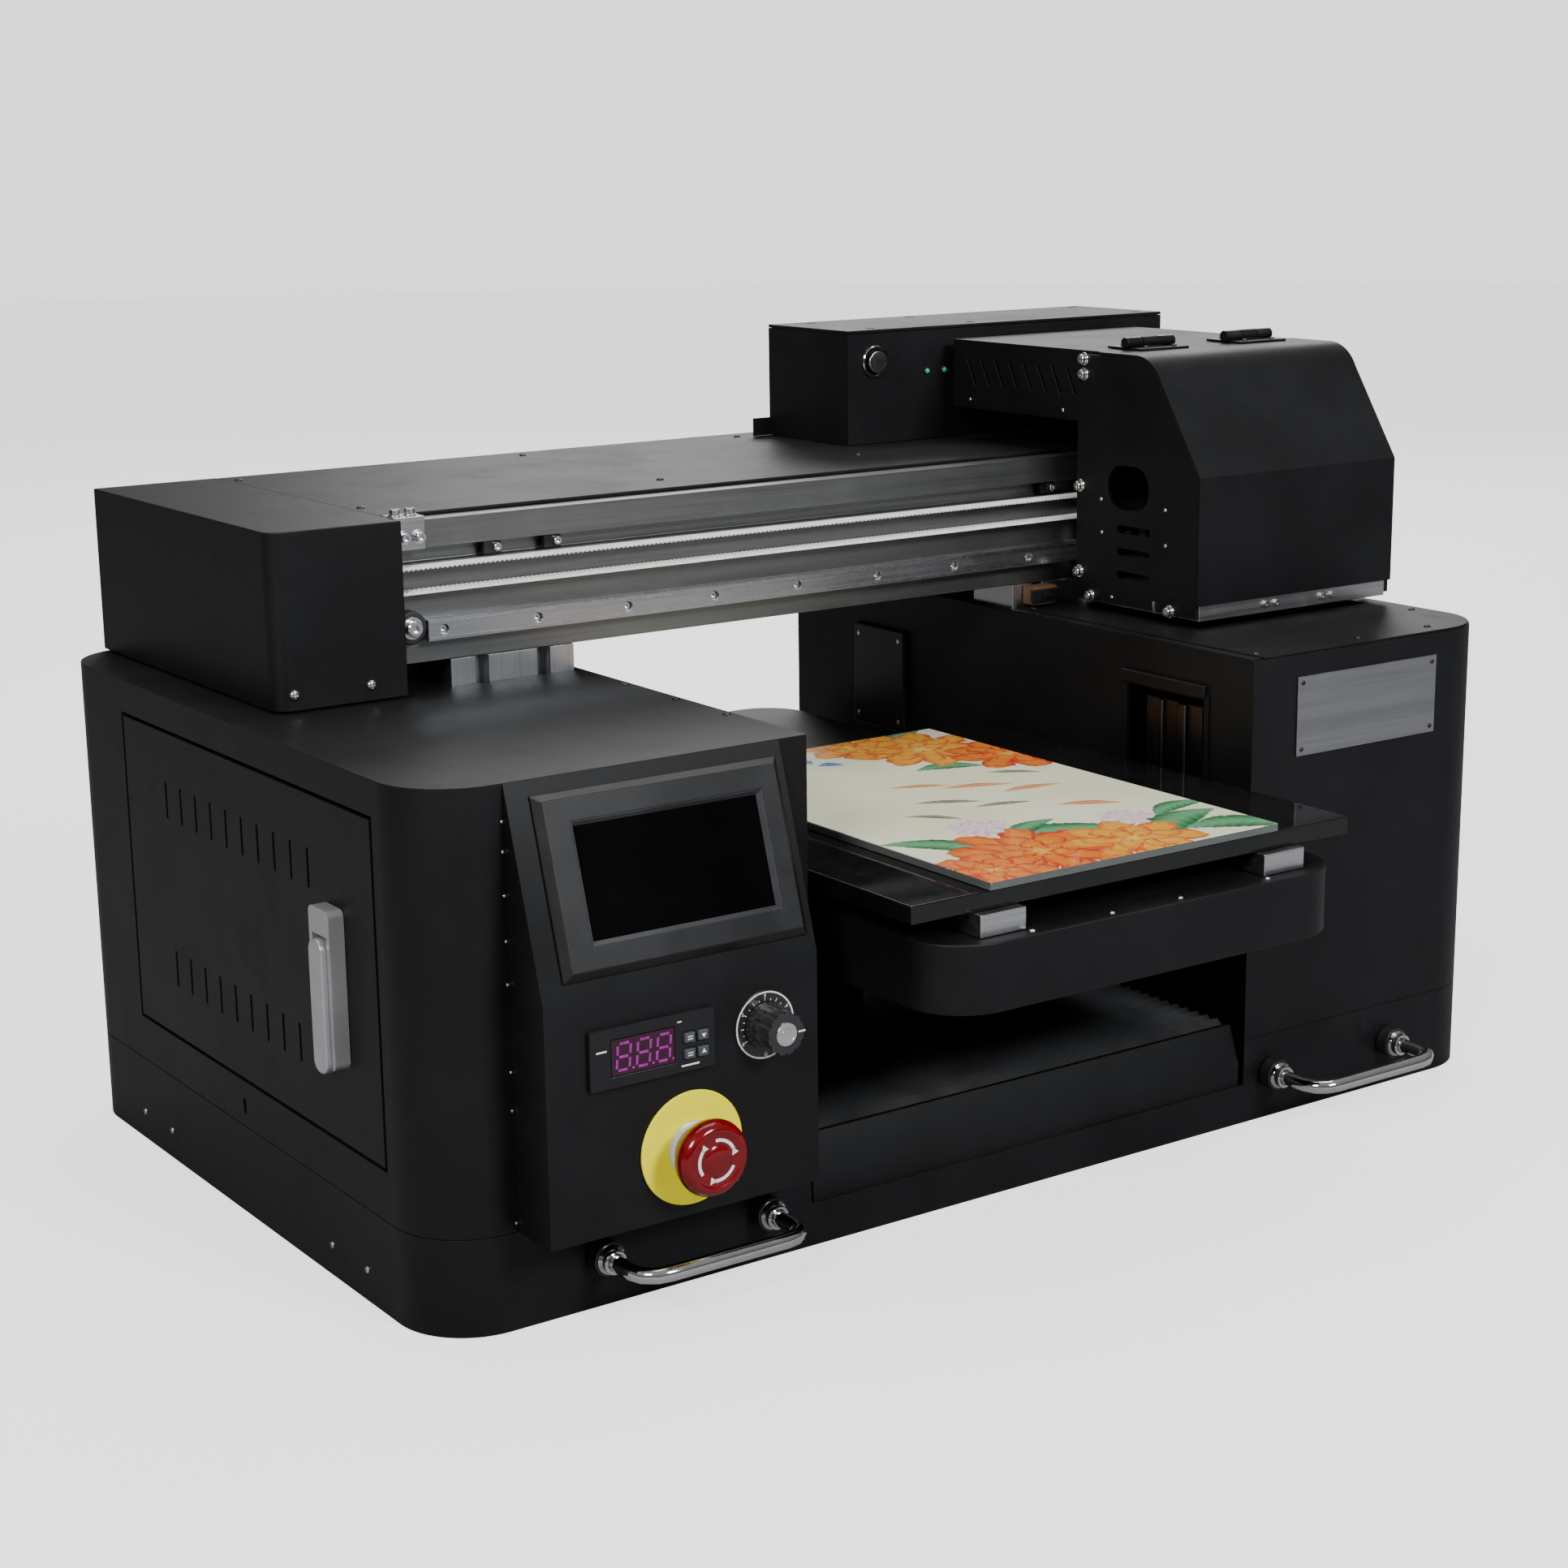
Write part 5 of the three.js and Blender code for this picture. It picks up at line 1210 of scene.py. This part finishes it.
def build_hinges():
    """The two leaves on the hood arm, with two screws in each half of a hinge."""
    for side in ("left", "right"):
        dress(f"hinge_leaf_{side}", "carriage", *HINGE_BLACK, 0.3)
        low, high = span(f"hinge_leaf_{side}")
        x = (low[0] + high[0]) / 2
        leaf_top = low[2] + 1.5
        leaves = (("fixed", "carriage", high[1] - 5.5), ("cover", "front_cover", HINGE_LINE - 11))
        for leaf, body, y in leaves:
            places = [((x + dx, y, leaf_top), UP) for dx in (-12, 12)]
            fasten(f"hinge_{side}_{leaf}_screws", dome_screw(1.9, 1.0), places, body, HINGE_BLACK)


def build_bed():
    dress("bed_box", "bed", *PAINT, 1.4, 3)
    low, high = span("bed_box")
    screws = [((x, low[1] + 6, high[2] - 0.05), UP) for x in (302, 356, 404, 468)]
    fasten("bed_box_screws", dome_screw(1.9, 1.0), screws, "bed")
    for side in ("left", "right"):
        dress(f"bed_bar_{side}", "platform", *MACHINED, 0.5)
        dress(f"bed_rail_{side}", "frame", "shaft steel", "rail_steel", 0.4)
    dress("bed_plate", "platform", "bed gloss black", "bed_gloss", 0.7, 3)
    dress("glass_sheet", "platform", "clear glass", "printed_glass", 0.3)
    low, high = span("glass_sheet")
    sheet = block("printed_sheet", (low[0] + 0.2, low[1] + 0.2, high[2] + 0.02),
                  (high[0] - 0.2, high[1] - 0.2, high[2] + 0.5), 0.12)
    finish(sheet, "platform", "printed sheet", "printed_glass")
    dress("lift_column", "platform", *MACHINED, 0.5)
    dress("bed_carrier", "bed", "bracket steel", "machined_aluminium", 0.6)
    dress("bed_screw", "bed_screw", "shaft steel", "rail_steel", 0.3)
    dress("bed_motor", "frame", "motor black", "motor_black", 0.8)
    dress("capping_station", "frame", *MOULDED, 0.6)


def build_bellows(sizes):
    """Pleated cloth over the bed rails; on the printer it is fixed to the channel at one end and to the bed
    at the other. Here the rear cloth rides on the frame and the front one stays where it is made, so neither
    stretches nor is pressed together as the bed moves.
    """
    for node in ("front_bellows", "rear_bellows"):
        low, high = span(node)
        length = high[1] - low[1]
        pleats = max(3, round(length * MM / sizes.pleat))
        pitch = length / pleats
        deselect()
        centre = spot((low[0] + high[0]) / 2, (low[1] + high[1]) / 2, low[2] + 1)
        bpy.ops.mesh.primitive_grid_add(x_subdivisions=1, y_subdivisions=pleats * 2, size=1, location=centre)
        cloth = bpy.context.object
        cloth.name = cloth.data.name = node + "_cloth"
        cloth.scale = ((high[0] - low[0]) * MM, length * MM, 1)
        settle(cloth)
        start = spot(0, low[1], 0).y
        begin_edit(cloth, "VERT")
        choose(cloth, lambda v: round((v.co.y - start) / (pitch / 2 * MM)) % 2 == 1, "VERT")
        rise = high[2] - low[2] - 2.4
        bpy.ops.transform.translate(value=(0, pitch * 0.3 * MM, rise * MM))
        end_edit()
        solid = cloth.modifiers.new("Cloth thickness", "SOLIDIFY")
        solid.thickness = 1.0 * MM
        solid.offset = 1
        apply_modifier(cloth, solid)
        focus(cloth)
        bpy.ops.object.shade_smooth_by_angle(angle=math.radians(30))
        cloth.data.materials.append(MATERIALS["bellows cloth"])
        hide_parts(node)
        if node == "front_bellows":
            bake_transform(cloth)
        else:
            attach(cloth, "frame")
            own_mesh(cloth)


def build_handles():
    for side in ("left", "right"):
        node = f"carry_handle_{side}"
        dress(node, "frame", *CHROME, 0, flatten=False)
        low, high = span(node)
        z = (low[2] + high[2]) / 2
        ends = (low[0] + 8, high[0] - 8)
        stubs = [((x, high[1] - 0.3, z), TO_FRONT) for x in ends]
        stub = ring("stub", Vector(), UP, 9.2, 8.02, 9.2, 40, 0.8)
        fasten(f"handle_{side}_stubs", stub, stubs, look=("black button plastic", "handle_chrome"))
        collars = [((x, high[1] - 9.8, z), TO_FRONT) for x in ends]
        collar = ring("collar", Vector(), UP, 6.6, 4.52, 5.0, 40, 0.6)
        fasten(f"handle_{side}_collars", collar, collars, look=CHROME)


def area_light(name, place, target, size, watts, tint):
    deselect()
    bpy.ops.object.light_add(type="AREA", location=place)
    lamp = bpy.context.object
    lamp.name = lamp.data.name = name
    lamp.data.shape = "RECTANGLE"
    lamp.data.size, lamp.data.size_y = size
    lamp.data.energy = watts
    lamp.data.color = tint
    lamp.rotation_euler = (Vector(target) - Vector(place)).to_track_quat("-Z", "Y").to_euler()
    return lamp


def build_floor():
    """A pale floor, with a soft mottling so that it isn't a flat sheet of colour."""
    deselect()
    bpy.ops.mesh.primitive_circle_add(vertices=96, radius=9, fill_type="NGON", location=(0, 0, -0.0005))
    floor = bpy.context.object
    floor.name = floor.data.name = "studio_floor"
    settle(floor)
    floor.data.materials.append(MATERIALS["studio floor"])


def build_world(light):
    """The camera sees a pale backdrop; the object is lit by a weaker sky that pales towards the top."""
    world = bpy.data.worlds.new("Studio")
    bpy.context.scene.world = world
    world.use_nodes = True
    tree = world.node_tree
    tree.nodes.clear()
    output = tree.nodes.new("ShaderNodeOutputWorld")
    path = tree.nodes.new("ShaderNodeLightPath")
    seen = tree.nodes.new("ShaderNodeBackground")
    seen.inputs["Color"].default_value = (*light.backdrop, 1)
    seen.inputs["Strength"].default_value = light.backdrop_strength
    lit = tree.nodes.new("ShaderNodeBackground")
    lit.inputs["Strength"].default_value = light.sky
    height = apart(tree, tree.nodes.new("ShaderNodeTexCoord").outputs["Generated"])["Z"]
    shade = tree.nodes.new("ShaderNodeValToRGB")
    wire(tree, height, shade.inputs["Fac"])
    low, high = shade.color_ramp.elements
    low.color, low.position = (0.30, 0.30, 0.31, 1), 0.02
    high.color, high.position = (1.0, 1.0, 1.0, 1), 0.75
    wire(tree, shade.outputs["Color"], lit.inputs["Color"])
    mix = tree.nodes.new("ShaderNodeMixShader")
    wire(tree, path.outputs["Is Camera Ray"], mix.inputs["Fac"])
    wire(tree, lit.outputs["Background"], mix.inputs[1])
    wire(tree, seen.outputs["Background"], mix.inputs[2])
    wire(tree, mix.outputs["Shader"], output.inputs["Surface"])


def build_lights(light):
    area_light("key_light", (-2.3, -1.55, 1.85), (0, 0, 0.2), (0.9, 0.7), light.key, (1.0, 0.965, 0.92))
    area_light("front_light", (0.5, -2.9, 1.9), (0, 0, 0.2), (0.9, 0.7), light.front, (0.92, 0.96, 1.0))
    area_light("top_light", (0.2, 0.5, 2.8), (0, 0, 0.2), (2.6, 2.0), light.top, (1.0, 1.0, 1.0))
    area_light("back_light", (1.9, 2.3, 1.7), (0, 0, 0.2), (2.0, 1.4), light.back, (1.0, 0.98, 0.96))


# Where the camera stands, its lens in millimetres, and its turn from straight ahead, tilt down and roll.
CAMERA_PLACE = (-0.95396, -1.37483, 0.58681)
CAMERA_LENS = 63.82
CAMERA_ANGLES = (math.radians(34.62), math.radians(13.31), math.radians(-0.738))


def build_camera():
    deselect()
    bpy.ops.object.camera_add(location=CAMERA_PLACE)
    camera = bpy.context.object
    camera.data.lens = CAMERA_LENS
    camera.data.sensor_width = 36
    camera.data.clip_start = 0.02
    camera.data.clip_end = 60
    turn, tilt, roll = CAMERA_ANGLES
    forward = Vector((math.sin(turn) * math.cos(tilt), math.cos(turn) * math.cos(tilt), -math.sin(tilt)))
    level = Vector((math.cos(turn), -math.sin(turn), 0))
    upright = level.cross(forward)
    right = math.cos(roll) * level + math.sin(roll) * upright
    up = math.cos(roll) * upright - math.sin(roll) * level
    camera.rotation_euler = Matrix((right, up, -forward)).transposed().to_euler()
    bpy.context.scene.camera = camera


# ---- settings -------------------------------------------------------------------------
class PrinterFinish(bpy.types.PropertyGroup):
    paint: FloatVectorProperty(name="Paint", description="Colour of the powder-coated sheet metal",
                               default=(0.0030, 0.0031, 0.0036), size=3, subtype="COLOR", min=0, max=1)
    paint_roughness: FloatProperty(name="Paint roughness", description="How dull the powder coat is",
                                   default=0.44, min=0, max=1, subtype="FACTOR")
    paint_grain: FloatProperty(name="Paint grain", description="Size of the powder coat's grain",
                               default=0.0011, min=0.0002, max=0.01, unit="LENGTH")


class PrinterSizes(bpy.types.PropertyGroup):
    sheet_edge: FloatProperty(name="Sheet edge", description="Rounding of folded sheet edges",
                              default=0.0007, min=0, max=0.002, precision=4, unit="LENGTH")
    tooth_pitch: FloatProperty(name="Belt tooth pitch", description="Spacing of the belt's teeth",
                               default=0.003, min=0.0015, max=0.01, precision=4, unit="LENGTH")
    pleat: FloatProperty(name="Bellows pleat", description="Spacing of the bellows' folds",
                         default=0.009, min=0.004, max=0.03, precision=4, unit="LENGTH")


class PrinterLight(bpy.types.PropertyGroup):
    backdrop: FloatVectorProperty(name="Backdrop", description="Colour of the backdrop",
                                  default=(1.0, 1.0, 1.0), size=3, subtype="COLOR", min=0, max=1)
    backdrop_strength: FloatProperty(name="Backdrop strength", description="Brightness of the backdrop",
                                     default=1.75, min=0, max=10)
    sky: FloatProperty(name="Sky strength", description="Brightness of the sky that lights the printer",
                       default=0.30, min=0, max=10)
    key: FloatProperty(name="Key light", description="Soft light from the left",
                       default=70, min=0, unit="POWER")
    front: FloatProperty(name="Front light", description="Soft light from the front",
                         default=95, min=0, unit="POWER")
    top: FloatProperty(name="Top light", description="Soft light from above",
                       default=52, min=0, unit="POWER")
    back: FloatProperty(name="Back light", description="Soft light from behind",
                        default=34, min=0, unit="POWER")


# ---- operators ------------------------------------------------------------------------
class StageOperator(bpy.types.Operator):
    """Lay the floor and set the lights, the backdrop and the camera"""

    bl_idname = "flatbed_printer.stage"
    bl_label = "Stage"

    def execute(self, context):
        light = context.scene.printer_light
        build_floor()
        build_world(light)
        build_lights(light)
        build_camera()
        return {"FINISHED"}


class MaterialsOperator(bpy.types.Operator):
    """Make the effects and materials that every piece uses"""

    bl_idname = "flatbed_printer.materials"
    bl_label = "Materials"

    def execute(self, context):
        make_effects()
        make_materials(context.scene.printer_finish)
        return {"FINISHED"}


class CabinetsOperator(bpy.types.Operator):
    """Make the plinth, the cabinets, the lid, the window and the name plate"""

    bl_idname = "flatbed_printer.cabinets"
    bl_label = "Cabinets"

    def execute(self, context):
        build_cabinets(context.scene.printer_sizes)
        return {"FINISHED"}


class SideDoorOperator(bpy.types.Operator):
    """Make the ventilated side door and its two-part latch"""

    bl_idname = "flatbed_printer.side_door"
    bl_label = "Side door"

    def execute(self, context):
        build_side_door()
        return {"FINISHED"}


class ConsoleOperator(bpy.types.Operator):
    """Make the sloping console with its bezel and touch screen"""

    bl_idname = "flatbed_printer.console"
    bl_label = "Console"

    def execute(self, context):
        build_console()
        return {"FINISHED"}


class ThermostatOperator(bpy.types.Operator):
    """Make the panel thermostat with its digits and four keys"""

    bl_idname = "flatbed_printer.thermostat"
    bl_label = "Thermostat"

    def execute(self, context):
        build_thermostat()
        return {"FINISHED"}


class SpeedDialOperator(bpy.types.Operator):
    """Make the dial plate, its scale and the turning knob"""

    bl_idname = "flatbed_printer.speed_dial"
    bl_label = "Speed dial"

    def execute(self, context):
        build_speed_dial()
        return {"FINISHED"}


class EmergencyStopOperator(bpy.types.Operator):
    """Make the yellow ring, the clear collar and the red button"""

    bl_idname = "flatbed_printer.emergency_stop"
    bl_label = "Emergency stop"

    def execute(self, context):
        build_emergency_stop()
        return {"FINISHED"}


class BeamOperator(bpy.types.Operator):
    """Make the posts, the slotted beam, the rail and their fittings"""

    bl_idname = "flatbed_printer.beam"
    bl_label = "Beam"

    def execute(self, context):
        build_beam()
        return {"FINISHED"}


class BeltDriveOperator(bpy.types.Operator):
    """Make the toothed belt, the pulleys, the bumper and the motor"""

    bl_idname = "flatbed_printer.belt_drive"
    bl_label = "Belt drive"

    def execute(self, context):
        build_belt_drive(context.scene.printer_sizes)
        return {"FINISHED"}


class CoversOperator(bpy.types.Operator):
    """Make the head box, the beam covers, the rear box, the power button and the lamps"""

    bl_idname = "flatbed_printer.covers"
    bl_label = "Covers"

    def execute(self, context):
        build_covers(context.scene.printer_sizes)
        return {"FINISHED"}


class CarriageOperator(bpy.types.Operator):
    """Make the print carriage with its hinged cover"""

    bl_idname = "flatbed_printer.carriage"
    bl_label = "Carriage"

    def execute(self, context):
        build_carriage()
        return {"FINISHED"}


class BedOperator(bpy.types.Operator):
    """Make the sliding bed, the lifting platform, the glass and the screw"""

    bl_idname = "flatbed_printer.bed"
    bl_label = "Bed"

    def execute(self, context):
        build_bed()
        return {"FINISHED"}


class BellowsOperator(bpy.types.Operator):
    """Make the pleated cloth in front of and behind the bed"""

    bl_idname = "flatbed_printer.bellows"
    bl_label = "Bellows"

    def execute(self, context):
        build_bellows(context.scene.printer_sizes)
        return {"FINISHED"}


class HandlesOperator(bpy.types.Operator):
    """Make the chrome carry handles on the plinth"""

    bl_idname = "flatbed_printer.handles"
    bl_label = "Handles"

    def execute(self, context):
        build_handles()
        return {"FINISHED"}


OPERATORS = (
    MaterialsOperator,
    StageOperator,
    CabinetsOperator,
    SideDoorOperator,
    ConsoleOperator,
    ThermostatOperator,
    SpeedDialOperator,
    EmergencyStopOperator,
    BeamOperator,
    BeltDriveOperator,
    CoversOperator,
    CarriageOperator,
    BedOperator,
    BellowsOperator,
    HandlesOperator,
)


class PrinterPanel(bpy.types.Panel):
    """Every step of the flatbed printer, in the order in which they are run"""

    bl_idname = "VIEW3D_PT_flatbed_printer"
    bl_label = "Flatbed printer"
    bl_space_type = "VIEW_3D"
    bl_region_type = "UI"
    bl_category = "Flatbed printer"

    def draw(self, context):
        for name in SETTINGS:
            settings = getattr(context.scene, name)
            box = self.layout.box()
            for key in settings.__annotations__:
                box.prop(settings, key)
        for step in OPERATORS:
            self.layout.operator(step.bl_idname)


SETTINGS = {"printer_finish": PrinterFinish, "printer_sizes": PrinterSizes, "printer_light": PrinterLight}


def register():
    for kind in (*SETTINGS.values(), *OPERATORS, PrinterPanel):
        bpy.utils.register_class(kind)
    for name, kind in SETTINGS.items():
        setattr(bpy.types.Scene, name, PointerProperty(type=kind))


def unregister():
    for name in SETTINGS:
        delattr(bpy.types.Scene, name)
    for kind in (PrinterPanel, *reversed(OPERATORS), *SETTINGS.values()):
        bpy.utils.unregister_class(kind)


def main():
    register()
    bpy.ops.flatbed_printer.materials()
    bpy.ops.flatbed_printer.stage()
    bpy.ops.flatbed_printer.cabinets()
    bpy.ops.flatbed_printer.side_door()
    bpy.ops.flatbed_printer.console()
    bpy.ops.flatbed_printer.thermostat()
    bpy.ops.flatbed_printer.speed_dial()
    bpy.ops.flatbed_printer.emergency_stop()
    bpy.ops.flatbed_printer.beam()
    bpy.ops.flatbed_printer.belt_drive()
    bpy.ops.flatbed_printer.covers()
    bpy.ops.flatbed_printer.carriage()
    bpy.ops.flatbed_printer.bed()
    bpy.ops.flatbed_printer.bellows()
    bpy.ops.flatbed_printer.handles()


if __name__ == "__main__":
    main()
